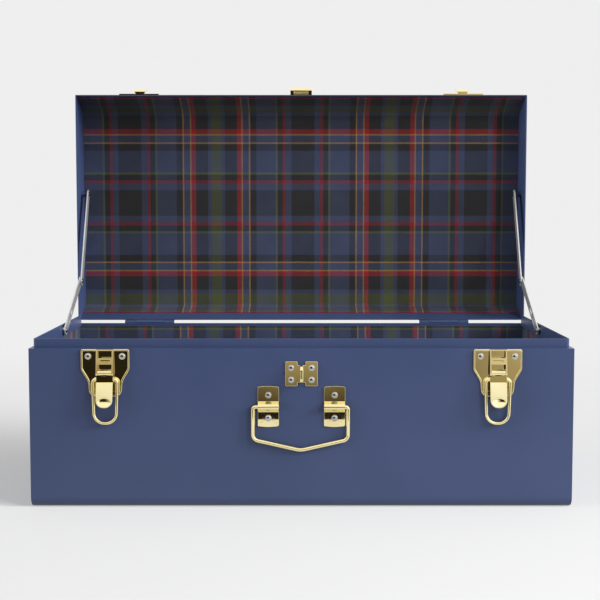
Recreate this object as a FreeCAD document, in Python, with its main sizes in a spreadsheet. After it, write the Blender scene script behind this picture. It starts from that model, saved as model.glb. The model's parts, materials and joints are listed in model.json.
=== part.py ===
import FreeCAD, Part
import math
import os
import re
import Sketcher

# Storage trunk with its lid open: a sheet steel tub and lid, lined with cloth on board, closed by
# two draw latches and a hasp, carried by a drop handle. Millimetres, +Z up, the front faces -Y,
# the origin is at the middle of the tub's underside.

driving_sizes = {
    # trunk
    "trunk_width": 600,
    "trunk_depth": 300,
    "tub_height": 177,
    "wall_thick": 1.5,
    "edge_radius": 0.9,
    "panel_fit": 0.1,
    "tub_bend_radius": 11,
    "back_drop": 1,
    # lip that stands out of the tub at the front and the ends
    "lip_side_inset": 4,
    "lip_front_inset": 6.2,
    "lip_back_inset": 6,
    "lip_thick": 1.5,
    "lip_height": 10.4,
    "lip_drop": 4.6,
    "lip_corner_radius": 4,
    "lip_edge_radius": 0.6,
    # linings
    "lining_thick": 1.5,
    "lining_fit": 0.2,
    "lining_back_drop": 5,
    "lid_lining_start": 1,
    "lid_lining_end": 27,
    # lid
    "lid_height": 54,
    "lid_rim_straight": 6.5,
    "lid_front_lean": 22,
    "lid_back_lean": 15,
    "lid_front_radius": 20,
    "lid_back_radius": 7,
    "lid_bend_radius": 9,
    # hinges
    "hinge_left_inset": 96,
    "hinge_right_inset": 108,
    "hinge_axis_offset": 2.9,
    "hinge_gap": 0.3,
    "hinge_width": 66,
    "hinge_middle": 39,
    "hinge_leaf_thick": 1.2,
    "hinge_leaf_length": 26,
    "hinge_leaf_radius": 4,
    "hinge_pin_radius": 1.2,
    "pin_clearance": 0.05,
    # rivets
    "rivet_head_radius": 3.6,
    "rivet_head_height": 2.2,
    "rivet_shank_radius": 1.8,
    "rivet_fit": 0.04,
    # draw latches
    "latch_inset": 84.5,
    "latch_width": 53.5,
    "latch_length": 53,
    "latch_top_drop": 0.4,
    "latch_straight": 23,
    "latch_waist_drop": 36,
    "latch_waist": 38,
    "latch_tail": 35,
    "latch_plate_thick": 1.2,
    "latch_border": 2,
    "latch_border_height": 1.2,
    "latch_corner_radius": 2.5,
    "latch_shoulder_radius": 7,
    "latch_waist_radius": 14,
    "latch_tail_radius": 8,
    "latch_rivet_spread": 37.5,
    "latch_rivet_drop": 8.3,
    "cheek_spread": 18.8,
    "cheek_thick": 1.5,
    "cheek_top_out": 4.6,
    "cheek_nose": 3.1,
    "bridge_thick": 1.4,
    "bridge_top": 9.6,
    "bridge_length": 7,
    "bridge_slot_length": 2.4,
    "bridge_slot_width": 12,
    "lever_pin_out": 6,
    "lever_pin_drop": 26,
    "lever_pin_radius": 1.5,
    "lever_gap": 0.3,
    "lever_barrel_radius": 2.8,
    "lever_web_thick": 2.4,
    "lever_width": 18.2,
    "lever_thick": 2.2,
    "lever_length": 38.5,
    "lever_tongue_start": 11,
    "lever_tilt": 12,
    "lever_flange_thick": 2,
    "lever_flange_start": 3.9,
    "lever_dimple_drop": 30.5,
    "lever_dimple_wide": 8,
    "lever_dimple_tall": 5.2,
    "lever_dimple_deep": 1.7,
    # wire loops of the latches
    "loop_wire_radius": 1.9,
    "loop_pivot_in": 1,
    "loop_pivot_drop": 7.6,
    "loop_length": 48.3,
    "loop_top_spread": 27.2,
    "loop_bottom_spread": 24,
    "loop_shoulder_radius": 3.6,
    "loop_bottom_radius": 11.2,
    "loop_end_depth": 1.9,
    # catches on the lid
    "catch_width": 52.6,
    "catch_thick": 1.6,
    "catch_foot": 1,
    "catch_length": 24,
    "catch_corner_radius": 5,
    "catch_rivet_along": 13,
    "catch_rivet_spread": 36,
    "hook_width": 17,
    "hook_neck": 11,
    "hook_thick": 2.2,
    "hook_reach": 8.6,
    "hook_seat_rise": 12.3,
    "hook_tip_rise": 20,
    "hook_bend_radius": 3.6,
    # padlock staple
    "staple_drop": 27.7,
    "staple_width": 35.8,
    "staple_height": 27.4,
    "staple_thick": 1.6,
    "staple_waist_width": 8.4,
    "staple_waist_height": 19.2,
    "staple_corner_radius": 1.6,
    "staple_rivet_x_spread": 22.4,
    "staple_rivet_z_spread": 13.2,
    "eye_thick": 3.2,
    "eye_reach": 12,
    "eye_radius": 5.5,
    "eye_hole_radius": 3.5,
    "eye_hole_out": 7,
    # hasp on the lid
    "hasp_width": 29,
    "hasp_middle": 18.6,
    "hasp_gap": 0.3,
    "hasp_leaf_thick": 1.4,
    "hasp_leaf_length": 24,
    "hasp_axis_out": 5.6,
    "hasp_axis_rise": 5,
    "hasp_knuckle_radius": 3.9,
    "hasp_pin_radius": 1.6,
    "hasp_flap_thick": 1.6,
    "hasp_flap_length": 50,
    "hasp_flap_tip": 17,
    "hasp_flap_taper": 8,
    "hasp_tip_radius": 5,
    "hasp_fold": 200,
    "hasp_slot_room": 1.1,
    "hasp_rivet_along": 15,
    "hasp_rivet_spread": 16,
    # drop handle
    "handle_drop": 64,
    "bracket_spread": 73,
    "bracket_width": 23.5,
    "bracket_height": 46.2,
    "bracket_thick": 1.6,
    "bracket_crown": 1.2,
    "bracket_crown_radius": 50,
    "bracket_corner_radius": 1.5,
    "bracket_rivet_spread": 25.6,
    "bridge_foot": 11.5,
    "bail_wire_radius": 2.3,
    "bail_axis_out": 3.4,
    "bail_clearance": 0.08,
    "bail_width": 109.4,
    "bail_slip": 1,
    "bail_side_drop": 36.4,
    "bail_drop": 48.3,
    "bail_end_reach": 27,
    "bail_top_radius": 2.9,
    "bail_corner_radius": 7,
    "bail_middle_radius": 22,
    # lid stays
    "stay_width": 12,
    "stay_thick": 1.6,
    "stay_gap": 0.3,
    "stay_foot_gap": 2.4,
    "stay_foot_ahead": 134.5,
    "stay_foot_rise": 3,
    "stay_lower_length": 117.7,
    "stay_upper_length": 128.7,
    "stay_lower_angle": 27.4,
    "stay_upper_angle": 63,
    "stay_slot_place": 44,
    "stay_slot_length": 14,
    "stay_slot_width": 4,
    "stay_pin_radius": 1.9,
    "stay_head_radius": 3.5,
    "stay_head_height": 1.2,
    "stay_collar_radius": 3.6,
    "stay_boss_radius": 3.4,
    "stay_flange_radius": 5.5,
    "stay_flange_thick": 1.2,
    "stay_end_play": 0.1,
}

# places across the front and back, measured from the middle
derived_sizes = {
    "hinge_left_place": "=trunk_width / 2 - hinge_left_inset",
    "hinge_right_place": "=trunk_width / 2 - hinge_right_inset",
    "latch_place": "=trunk_width / 2 - latch_inset",
}

doc = FreeCAD.newDocument("storage_trunk")
sheet = doc.addObject("Spreadsheet::Sheet", "sizes")
all_sizes = {**driving_sizes, **derived_sizes}
for row, (alias, value) in enumerate(all_sizes.items(), start=1):
    sheet.set(f"A{row}", alias)
    sheet.set(f"B{row}", str(value))
    sheet.setAlias(f"B{row}", alias)
doc.recompute()

pieces = []
x_axis = FreeCAD.Vector(1, 0, 0)
y_axis = FreeCAD.Vector(0, 1, 0)
z_axis = FreeCAD.Vector(0, 0, 1)
lid_turn = FreeCAD.Rotation(x_axis, -90)
front_turn = FreeCAD.Rotation(x_axis, 90)
along_x = FreeCAD.Rotation(y_axis, 90)
against_x = FreeCAD.Rotation(y_axis, -90)
sides = {"left": "-1", "right": "1"}

front_face = "-trunk_depth / 2"
hinge_y = "trunk_depth / 2 + hinge_axis_offset"
hinge_z = "tub_height"


def bound(text):
    """A formula for the document, with every size name looked up in the sheet."""
    return re.sub(r"[a-z]+(?:_[a-z]+)+", r"sizes.\g<0>", text)


def size(name):
    """The number that a size has now."""
    return float(sheet.get(name))


def tie(thing, prop, text):
    thing.setExpression(prop, bound(text))


def place(thing, x="0", y="0", z="0", turn=None):
    """Set where a piece stands; its place follows the sizes."""
    if turn:
        thing.Placement = FreeCAD.Placement(FreeCAD.Vector(), turn)
    for axis, text in zip("xyz", (x, y, z)):
        tie(thing, f"Placement.Base.{axis}", text)


def new_body(name):
    body = doc.addObject("PartDesign::Body", name)
    body.Label = name
    pieces.append(body)
    return body


def new_sketch(body, plane, shift=None):
    """A sketch on one of the body's own planes, moved along the plane's normal by shift."""
    support = next(part for part in body.Origin.OriginFeatures if part.Role == plane + "_Plane")
    sketch = body.newObject("Sketcher::SketchObject", body.Name + "_sketch")
    sketch.AttachmentSupport = [(support, "")]
    sketch.MapMode = "FlatFace"
    if shift:
        tie(sketch, "AttachmentOffset.Base.z", shift)
    return sketch


def tie_point(sketch, shape, point, across, up):
    for kind, text in (("DistanceX", across), ("DistanceY", up)):
        number = sketch.addConstraint(Sketcher.Constraint(kind, -1, 1, shape, point, 1.0))
        tie(sketch, f"Constraints[{number}]", text)


def outline(sketch, corners):
    """A closed outline of straight lines; each corner is held by two formulas."""
    count = len(corners)
    first = sketch.GeometryCount
    turns = [2 * math.pi * number / count for number in range(count)]
    rough = [FreeCAD.Vector(10 * math.cos(turn), 10 * math.sin(turn), 0) for turn in turns]
    for number in range(count):
        sketch.addGeometry(Part.LineSegment(rough[number], rough[(number + 1) % count]), False)
    for number, (across, up) in enumerate(corners):
        following = first + (number + 1) % count
        sketch.addConstraint(Sketcher.Constraint("Coincident", first + number, 2, following, 1))
        tie_point(sketch, first + number, 1, across, up)


def rectangle(sketch, left, right, low, high):
    outline(sketch, [(left, low), (right, low), (right, high), (left, high)])


def circle(sketch, across, up, radius):
    ring = sketch.addGeometry(Part.Circle(FreeCAD.Vector(), z_axis, 1), False)
    number = sketch.addConstraint(Sketcher.Constraint("Radius", ring, 1.0))
    tie(sketch, f"Constraints[{number}]", radius)
    tie_point(sketch, ring, 3, across, up)


def pad(body, sketch, length, side="One side", back=False):
    feature = body.newObject("PartDesign::Pad", body.Name + "_pad")
    feature.Profile = sketch
    feature.SideType = side
    feature.Reversed = back
    tie(feature, "Length", length)
    doc.recompute()


def cut(body, sketch, depth=None):
    """Take a sketch out of the body: to a depth behind the sketch, or right through both ways."""
    before = body.Shape.Volume
    feature = body.newObject("PartDesign::Pocket", body.Name + "_cut")
    feature.Profile = sketch
    if depth:
        tie(feature, "Length", depth)
    else:
        feature.Type = "ThroughAll"
        feature.SideType = "Symmetric"
    doc.recompute()
    if not body.Shape.Volume < before:
        raise RuntimeError("a cut takes nothing from " + body.Label)


def rounded(body, radius, chosen):
    """Round the edges of the body that the test picks by their middle and direction."""
    base = body.Tip
    names = []
    for number, edge in enumerate(base.Shape.Edges, start=1):
        middle = edge.valueAt((edge.FirstParameter + edge.LastParameter) / 2)
        direction = edge.tangentAt((edge.FirstParameter + edge.LastParameter) / 2)
        if chosen(middle, direction):
            names.append(f"Edge{number}")
    if not names:
        raise RuntimeError("no edge to round on " + body.Label)
    feature = body.newObject("PartDesign::Fillet", body.Name + "_round")
    feature.Base = (base, names)
    tie(feature, "Radius", radius)
    doc.recompute()
    if "Invalid" in feature.State:
        raise RuntimeError("an edge can't be rounded on " + body.Label)


def near(value, target):
    return abs(value - target) < 0.01


def runs(direction, axis):
    return abs(direction.dot(axis)) > 0.999


def inside(side, depth):
    """Place across the lid, from the hinge line, at a depth inside its outer front or back face."""
    if side == "front":
        return f"-(hinge_axis_offset + trunk_depth) + ({depth})"
    return f"-hinge_axis_offset - ({depth})"


def bend_point(side, depth):
    """Where the upright rim of the lid meets its leaning wall, at a depth inside the outer face."""
    return inside(side, depth), f"lid_rim_straight - ({depth}) * tan(lid_{side}_lean / 2)"


def slope_point(side, rise, depth):
    """A point of the leaning wall at a height above the rim, at a depth inside the outer face."""
    lean = f"lid_{side}_lean"
    climb = f"({rise}) - lid_rim_straight + ({depth}) * tan({lean} / 2)"
    return inside(side, f"({depth}) + ({climb}) * tan({lean})"), rise


def on_slope(along, off):
    """A point at a distance up the leaning front wall and a height off its outer face."""
    across = inside("front", f"({along}) * sin(lid_front_lean) - ({off}) * cos(lid_front_lean)")
    return across, f"lid_rim_straight + ({along}) * cos(lid_front_lean) + ({off}) * sin(lid_front_lean)"


def slope_sketch(body):
    """A sketch on the lid's leaning front wall, with its origin at the bend."""
    sketch = new_sketch(body, "XZ")
    sketch.AttachmentOffset = FreeCAD.Placement(FreeCAD.Vector(), FreeCAD.Rotation(x_axis, -1))
    tie(sketch, "AttachmentOffset.Base.y", "lid_rim_straight")
    tie(sketch, "AttachmentOffset.Base.z", "hinge_axis_offset + trunk_depth")
    tie(sketch, "AttachmentOffset.Rotation.Angle", "-lid_front_lean")
    return sketch


def place_on_lid(thing, x="0"):
    place(thing, x, hinge_y, hinge_z, lid_turn)


def turned(name, profile):
    """A body turned about its own Z axis, from corners given as radius and height."""
    body = new_body(name)
    sketch = new_sketch(body, "XZ")
    outline(sketch, profile)
    feature = body.newObject("PartDesign::Revolution", name + "_turn")
    feature.Profile = sketch
    feature.ReferenceAxis = (sketch, ["V_Axis"])
    doc.recompute()
    return body


def round_pin(name, radius, length):
    pin = doc.addObject("Part::Cylinder", name)
    pin.Label = name
    tie(pin, "Radius", radius)
    tie(pin, "Height", length)
    pieces.append(pin)
    return pin


def bent_wire(name, corners, bends, radius):
    """Round wire along straight runs, with a bend at each corner between them."""
    edges = []
    start = corners[0]
    for corner, ahead, bend in zip(corners[1:-1], corners[2:], bends):
        into = (corner - start).normalize()
        out = (ahead - corner).normalize()
        half_turn = into.getAngle(out) / 2
        reach = bend * math.tan(half_turn)
        arc_start = corner - into * reach
        arc_end = corner + out * reach
        inward = (out - into).normalize()
        arc_middle = corner + inward * (bend / math.cos(half_turn) - bend)
        edges.append(Part.LineSegment(start, arc_start).toShape())
        edges.append(Part.Arc(arc_start, arc_middle, arc_end).toShape())
        start = arc_end
    edges.append(Part.LineSegment(start, corners[-1]).toShape())
    path = Part.Wire(edges)
    section = Part.Wire([Part.makeCircle(radius, corners[0], corners[1] - corners[0])])
    solid = path.makePipeShell([section], True, False)
    expected = math.pi * radius ** 2 * path.Length
    if abs(solid.Volume - expected) > 0.01 * expected:
        raise RuntimeError("the wire of " + name + " is not whole")
    wire = doc.addObject("Part::Feature", name)
    wire.Label = name
    wire.Shape = solid
    pieces.append(wire)
    return wire


def rivet(grip, x, y, z, turn, lean=None):
    """Domed rivet: its shank starts at the wall's inner face and the head sits on the plate."""
    head_square = "rivet_head_radius ^ 2"
    height_square = "rivet_head_height ^ 2"
    ball_radius = f"({head_square} + {height_square}) / (2 * rivet_head_height)"
    shank = doc.addObject("Part::Cylinder", "rivet_shank")
    tie(shank, "Radius", "rivet_shank_radius")
    tie(shank, "Height", f"{grip} + rivet_head_height / 2")
    head = doc.addObject("Part::Sphere", "rivet_head")
    tie(head, "Radius", ball_radius)
    tie(head, "Angle1", f"asin(({head_square} - {height_square}) / ({head_square} + {height_square}))")
    tie(head, "Placement.Base.z", f"{grip} + rivet_head_height - {ball_radius}")
    whole = doc.addObject("Part::Fuse", "rivet")
    whole.Base = shank
    whole.Tool = head
    place(whole, x, y, z, turn)
    if lean:
        tie(whole, "Placement.Rotation.Angle", lean)
    return whole


def rivet_group(name, rivets):
    group = doc.addObject("Part::Compound", name)
    group.Label = name
    group.Links = rivets
    pieces.append(group)
    return group


def front_rivets(name, spots, plate):
    """Rivets through the tub's front wall and a plate on it, at the given x and z."""
    inner = f"{front_face} + wall_thick"
    grip = f"wall_thick + {plate}"
    return rivet_group(name, [rivet(grip, x, inner, z, front_turn) for x, z in spots])


def lid_rivets(name, places, along, plate):
    """Rivets through the lid's leaning front wall and a plate on it, at the given x."""
    across, up = on_slope(along, "-wall_thick")
    grip = f"wall_thick + {plate}"
    rivets = [rivet(grip, x, across, up, front_turn, "90 - lid_front_lean") for x in places]
    place_on_lid(rivet_group(name, rivets))


latch_rivet_spots = []
for sign in sides.values():
    for hand in sides.values():
        across = f"{sign} * latch_place + {hand} * latch_rivet_spread / 2"
        latch_rivet_spots.append((across, "tub_height - latch_rivet_drop"))

staple_rivet_spots = []
for sign in sides.values():
    for hand in sides.values():
        across = f"{sign} * staple_rivet_x_spread / 2"
        up = f"tub_height - staple_drop + {hand} * staple_rivet_z_spread / 2"
        staple_rivet_spots.append((across, up))

bracket_rivet_spots = []
for sign in sides.values():
    for hand in sides.values():
        across = f"{sign} * bracket_spread / 2"
        up = f"tub_height - handle_drop + {hand} * bracket_rivet_spread / 2"
        bracket_rivet_spots.append((across, up))

catch_rivet_places = []
for sign in sides.values():
    for hand in sides.values():
        catch_rivet_places.append(f"{sign} * latch_place + {hand} * catch_rivet_spread / 2")

hasp_rivet_places = [f"{sign} * hasp_rivet_spread / 2" for sign in sides.values()]
rivet_hole = "rivet_shank_radius + rivet_fit"


# Tub: one sheet wrapped round front, bottom and back, with flat ends set into it.

def tub_wrap():
    body = new_body("tub_wrap")
    back_top = "tub_height - back_drop"
    sketch = new_sketch(body, "YZ")
    outline(sketch, [
        ("-trunk_depth / 2", "tub_height"),
        ("-trunk_depth / 2", "0"),
        ("trunk_depth / 2", "0"),
        ("trunk_depth / 2", back_top),
        ("trunk_depth / 2 - wall_thick", back_top),
        ("trunk_depth / 2 - wall_thick", "wall_thick"),
        ("-trunk_depth / 2 + wall_thick", "wall_thick"),
        ("-trunk_depth / 2 + wall_thick", "tub_height"),
    ])
    pad(body, sketch, "trunk_width", "Symmetric")
    wall = size("wall_thick")
    half_width = size("trunk_width") / 2
    half_depth = size("trunk_depth") / 2
    rounded(body, "tub_bend_radius", lambda at, way: runs(way, x_axis) and near(at.z, 0))
    rounded(body, "tub_bend_radius - wall_thick", lambda at, way: runs(way, x_axis) and near(at.z, wall))
    middle_of_bend = size("tub_bend_radius") * (1 - math.sqrt(0.5))

    def on_outside(at):
        bent = near(half_depth - abs(at.y), middle_of_bend) and near(at.z, middle_of_bend)
        return near(abs(at.y), half_depth) or near(at.z, 0) or bent

    rounded(body, "edge_radius", lambda at, way: near(abs(at.x), half_width) and on_outside(at))
    holes = new_sketch(body, "XZ", "trunk_depth / 2")
    for across, up in latch_rivet_spots + staple_rivet_spots + bracket_rivet_spots:
        circle(holes, across, up, rivet_hole)
    cut(body, holes, "wall_thick")


def tub_end(name, x):
    body = new_body(name)
    edge = "wall_thick + panel_fit"
    sketch = new_sketch(body, "YZ")
    rectangle(sketch, f"-trunk_depth / 2 + {edge}", f"trunk_depth / 2 - ({edge})", edge, "tub_height")
    pad(body, sketch, "wall_thick")
    low = size("wall_thick") + size("panel_fit")
    rounded(body, f"tub_bend_radius - ({edge})",
            lambda at, way: runs(way, x_axis) and near(at.z, low))
    place(body, x)


def lip_ring(sketch, front, side):
    """The lip's outline from above: it runs along one end, the front and the other end."""
    back = "trunk_depth / 2 - lip_back_inset"
    inner_front = "-trunk_depth / 2 + lip_front_inset + lip_thick"
    inner_side = "trunk_width / 2 - lip_side_inset - lip_thick"
    outline(sketch, [
        (f"-({side})", back), (f"-({side})", front), (side, front), (side, back),
        (inner_side, back), (inner_side, inner_front),
        (f"-({inner_side})", inner_front), (f"-({inner_side})", back),
    ])


def tub_lip():
    body = new_body("tub_lip")
    upper = new_sketch(body, "XY")
    upper_front = "-trunk_depth / 2 + lip_front_inset"
    upper_side = "trunk_width / 2 - lip_side_inset"
    lip_ring(upper, upper_front, upper_side)
    pad(body, upper, "lip_height")
    lower = new_sketch(body, "XY")
    edge = "wall_thick + panel_fit"
    lip_ring(lower, f"-trunk_depth / 2 + {edge}", f"trunk_width / 2 - ({edge})")
    pad(body, lower, "lip_drop", back=True)
    outer_front = -size("trunk_depth") / 2 + size("lip_front_inset")
    inner_front = outer_front + size("lip_thick")
    top = size("lip_height")
    rounded(body, "lip_corner_radius", lambda at, way: runs(way, z_axis) and near(at.y, outer_front))
    rounded(body, "lip_corner_radius - lip_thick",
            lambda at, way: runs(way, z_axis) and near(at.y, inner_front))
    back = size("trunk_depth") / 2 - size("lip_back_inset")
    rounded(body, "lip_edge_radius", lambda at, way: near(at.z, top) and not near(at.y, back))
    place(body, z="tub_height")


def tub_lining_wrap():
    body = new_body("tub_lining_wrap")
    outer = "wall_thick + lining_fit"
    inner = f"{outer} + lining_thick"
    front_top = "tub_height - lip_drop - lining_fit"
    back_top = "tub_height - lining_back_drop"
    sketch = new_sketch(body, "YZ")
    outline(sketch, [
        (f"-trunk_depth / 2 + {outer}", front_top),
        (f"-trunk_depth / 2 + {outer}", outer),
        (f"trunk_depth / 2 - ({outer})", outer),
        (f"trunk_depth / 2 - ({outer})", back_top),
        (f"trunk_depth / 2 - ({inner})", back_top),
        (f"trunk_depth / 2 - ({inner})", inner),
        (f"-trunk_depth / 2 + {inner}", inner),
        (f"-trunk_depth / 2 + {inner}", front_top),
    ])
    pad(body, sketch, f"trunk_width - 2 * ({outer})", "Symmetric")
    low = size("wall_thick") + size("lining_fit")
    high = low + size("lining_thick")
    rounded(body, f"tub_bend_radius - ({outer})",
            lambda at, way: runs(way, x_axis) and near(at.z, low))
    rounded(body, f"tub_bend_radius - ({inner})",
            lambda at, way: runs(way, x_axis) and near(at.z, high))


def tub_lining_end(name, x):
    body = new_body(name)
    edge = "wall_thick + 2 * lining_fit + lining_thick"
    sketch = new_sketch(body, "YZ")
    rectangle(sketch, f"-trunk_depth / 2 + {edge}", f"trunk_depth / 2 - ({edge})",
              edge, "tub_height - lip_drop - lining_fit")
    pad(body, sketch, "lining_thick")
    low = size("wall_thick") + 2 * size("lining_fit") + size("lining_thick")
    rounded(body, f"tub_bend_radius - ({edge})",
            lambda at, way: runs(way, x_axis) and near(at.z, low))
    place(body, x)


# Lid: one sheet wrapped round front, top and back, with flat ends. The front and back stand upright
# at the rim, then lean in. Its pieces are drawn shut, from the hinge line, and placed open.

def lid_wrap():
    body = new_body("lid_wrap")
    wall = "wall_thick"
    inner_top = "lid_height - wall_thick"
    sketch = new_sketch(body, "YZ")
    outline(sketch, [
        (inside("front", "0"), "0"), bend_point("front", "0"), slope_point("front", "lid_height", "0"),
        slope_point("back", "lid_height", "0"), bend_point("back", "0"), (inside("back", "0"), "0"),
        (inside("back", wall), "0"), bend_point("back", wall), slope_point("back", inner_top, wall),
        slope_point("front", inner_top, wall), bend_point("front", wall), (inside("front", wall), "0"),
    ])
    pad(body, sketch, "trunk_width", "Symmetric")
    round_lid(body, 0)
    round_lid(body, size("wall_thick"), "wall_thick")
    half_width = size("trunk_width") / 2
    rounded(body, "edge_radius", lambda at, way: near(abs(at.x), half_width) and on_lid_skin(at))
    holes = slope_sketch(body)
    for across in catch_rivet_places:
        circle(holes, across, "catch_rivet_along", rivet_hole)
    for across in hasp_rivet_places:
        circle(holes, across, "hasp_rivet_along", rivet_hole)
    cut(body, holes, "2 * wall_thick")
    place_on_lid(body)


def lid_corner(side, depth):
    """Where the lid's wall and top would meet if their corner were sharp."""
    lean = math.radians(size(f"lid_{side}_lean"))
    rise = size("lid_height") - depth
    climb = rise - size("lid_rim_straight") + depth * math.tan(lean / 2)
    across = depth + climb * math.tan(lean)
    if side == "front":
        return across - size("hinge_axis_offset") - size("trunk_depth"), rise
    return -across - size("hinge_axis_offset"), rise


def lid_bend(side, depth):
    lean = math.radians(size(f"lid_{side}_lean"))
    rise = size("lid_rim_straight") - depth * math.tan(lean / 2)
    if side == "front":
        return depth - size("hinge_axis_offset") - size("trunk_depth"), rise
    return -depth - size("hinge_axis_offset"), rise


def at_point(spot):
    return lambda at, way: runs(way, x_axis) and near(at.y, spot[0]) and near(at.z, spot[1])


def round_lid(body, depth, less="0", bends=True):
    """Round the long edges of the lid's outline at a depth inside its outer face."""
    for side in ("front", "back"):
        rounded(body, f"lid_{side}_radius - ({less})", at_point(lid_corner(side, depth)))
        if bends:
            rounded(body, f"lid_bend_radius - ({less})", at_point(lid_bend(side, depth)))


def on_lid_skin(at):
    """Whether a point above the rim lies on the lid's outer skin."""
    if near(at.z, size("lid_height")):
        return True
    half_wall = size("wall_thick") / 2
    for side, outward in (("front", -1), ("back", 1)):
        bend = lid_bend(side, 0)
        lean = math.tan(math.radians(size(f"lid_{side}_lean")))
        skin = bend[0] - outward * max(0, at.z - bend[1]) * lean
        if at.z > 0 and abs(at.y - skin) < half_wall:
            return True
        radius = size(f"lid_{side}_radius")
        middle = lid_corner(side, radius)
        if near(math.hypot(at.y - middle[0], at.z - middle[1]), radius):
            return True
    return False


def lid_end(name, x):
    body = new_body(name)
    edge = "wall_thick + panel_fit"
    top = f"lid_height - ({edge})"
    sketch = new_sketch(body, "YZ")
    outline(sketch, [
        (inside("front", edge), "0"), bend_point("front", edge), slope_point("front", top, edge),
        slope_point("back", top, edge), bend_point("back", edge), (inside("back", edge), "0"),
    ])
    pad(body, sketch, "wall_thick")
    round_lid(body, size("wall_thick") + size("panel_fit"), edge)
    place_on_lid(body, x)


def lid_lining():
    body = new_body("lid_lining")
    outer = "wall_thick + lining_fit"
    inner = f"{outer} + lining_thick"
    front_start = "lid_rim_straight + lid_lining_start"
    sketch = new_sketch(body, "YZ")
    outline(sketch, [
        slope_point("front", front_start, outer), slope_point("front", f"lid_height - ({outer})", outer),
        slope_point("back", f"lid_height - ({outer})", outer), slope_point("back", "lid_lining_end", outer),
        slope_point("back", "lid_lining_end", inner), slope_point("back", f"lid_height - ({inner})", inner),
        slope_point("front", f"lid_height - ({inner})", inner), slope_point("front", front_start, inner),
    ])
    pad(body, sketch, f"trunk_width - 2 * ({outer})", "Symmetric")
    depth = size("wall_thick") + size("lining_fit")
    round_lid(body, depth, outer, bends=False)
    round_lid(body, depth + size("lining_thick"), inner, bends=False)
    place_on_lid(body)


# Hinges: welded leaves, the tub's with the outer knuckles and the lid's with the middle one.

hinge_knuckle = "hinge_axis_offset - hinge_gap"
hinge_pin_hole = "hinge_pin_radius + pin_clearance"


def hinge_tub_leaf(name, x):
    body = new_body(name)
    plate = new_sketch(body, "XZ", "hinge_axis_offset")
    rectangle(plate, "-hinge_width / 2", "hinge_width / 2", "-hinge_leaf_length", "0")
    pad(body, plate, "hinge_leaf_thick", back=True)
    low = -size("hinge_leaf_length")
    half_width = size("hinge_width") / 2
    rounded(body, "hinge_leaf_radius",
            lambda at, way: runs(way, y_axis) and near(at.z, low) and near(abs(at.x), half_width))
    barrel = new_sketch(body, "YZ")
    circle(barrel, "0", "0", hinge_knuckle)
    pad(body, barrel, "hinge_width", "Symmetric")
    notch = new_sketch(body, "XZ")
    rectangle(notch, "-hinge_middle / 2", "hinge_middle / 2", "-hinge_axis_offset", "hinge_axis_offset")
    cut(body, notch)
    bore = new_sketch(body, "YZ")
    circle(bore, "0", "0", hinge_pin_hole)
    cut(body, bore)
    place(body, x, hinge_y, hinge_z)


def hinge_lid_leaf(name, x):
    body = new_body(name)
    leaf = "-hinge_leaf_thick"
    plate = new_sketch(body, "YZ")
    outline(plate, [
        (inside("back", "0"), "0"), bend_point("back", "0"), slope_point("back", "hinge_leaf_length", "0"),
        slope_point("back", "hinge_leaf_length", leaf), bend_point("back", leaf),
        (inside("back", leaf), "0"),
    ])
    pad(body, plate, "hinge_width", "Symmetric")
    barrel = new_sketch(body, "YZ")
    circle(barrel, "0", "0", hinge_knuckle)
    pad(body, barrel, "hinge_middle - 2 * hinge_gap", "Symmetric")
    notches = new_sketch(body, "XZ")
    for sign in sides.values():
        rectangle(notches, f"{sign} * (hinge_middle / 2 - hinge_gap)", f"{sign} * hinge_width",
                  "-hinge_axis_offset", "hinge_axis_offset")
    cut(body, notches)
    bore = new_sketch(body, "YZ")
    circle(bore, "0", "0", hinge_pin_hole)
    cut(body, bore)
    place_on_lid(body, x)


def hinge_pin(name, x):
    pin = round_pin(name, "hinge_pin_radius", "hinge_width")
    place(pin, f"{x} - hinge_width / 2", hinge_y, hinge_z, along_x)


# Draw latches: a pan-shaped plate with two cheeks and a slotted bridge, a lever on a pin between
# the cheeks, and a wire loop hung in the lever's flanges. Drawn from the seam at the front face.

def latch_pan(sketch, inset):
    half = f"(latch_width / 2 - {inset})"
    waist = f"(latch_waist / 2 - {inset})"
    tail = f"(latch_tail / 2 - {inset})"
    top = f"-latch_top_drop - {inset}"
    shoulder = f"-latch_straight + {inset} / 2"
    neck = f"-latch_waist_drop + {inset} / 2"
    low = f"-latch_length + {inset}"
    outline(sketch, [
        (f"-{half}", top), (f"-{half}", shoulder), (f"-{waist}", neck), (f"-{tail}", low),
        (tail, low), (waist, neck), (half, shoulder), (half, top),
    ])


def round_pan(body, radius, level):
    rounded(body, radius, lambda at, way: runs(way, y_axis) and near(at.z, level))


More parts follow.
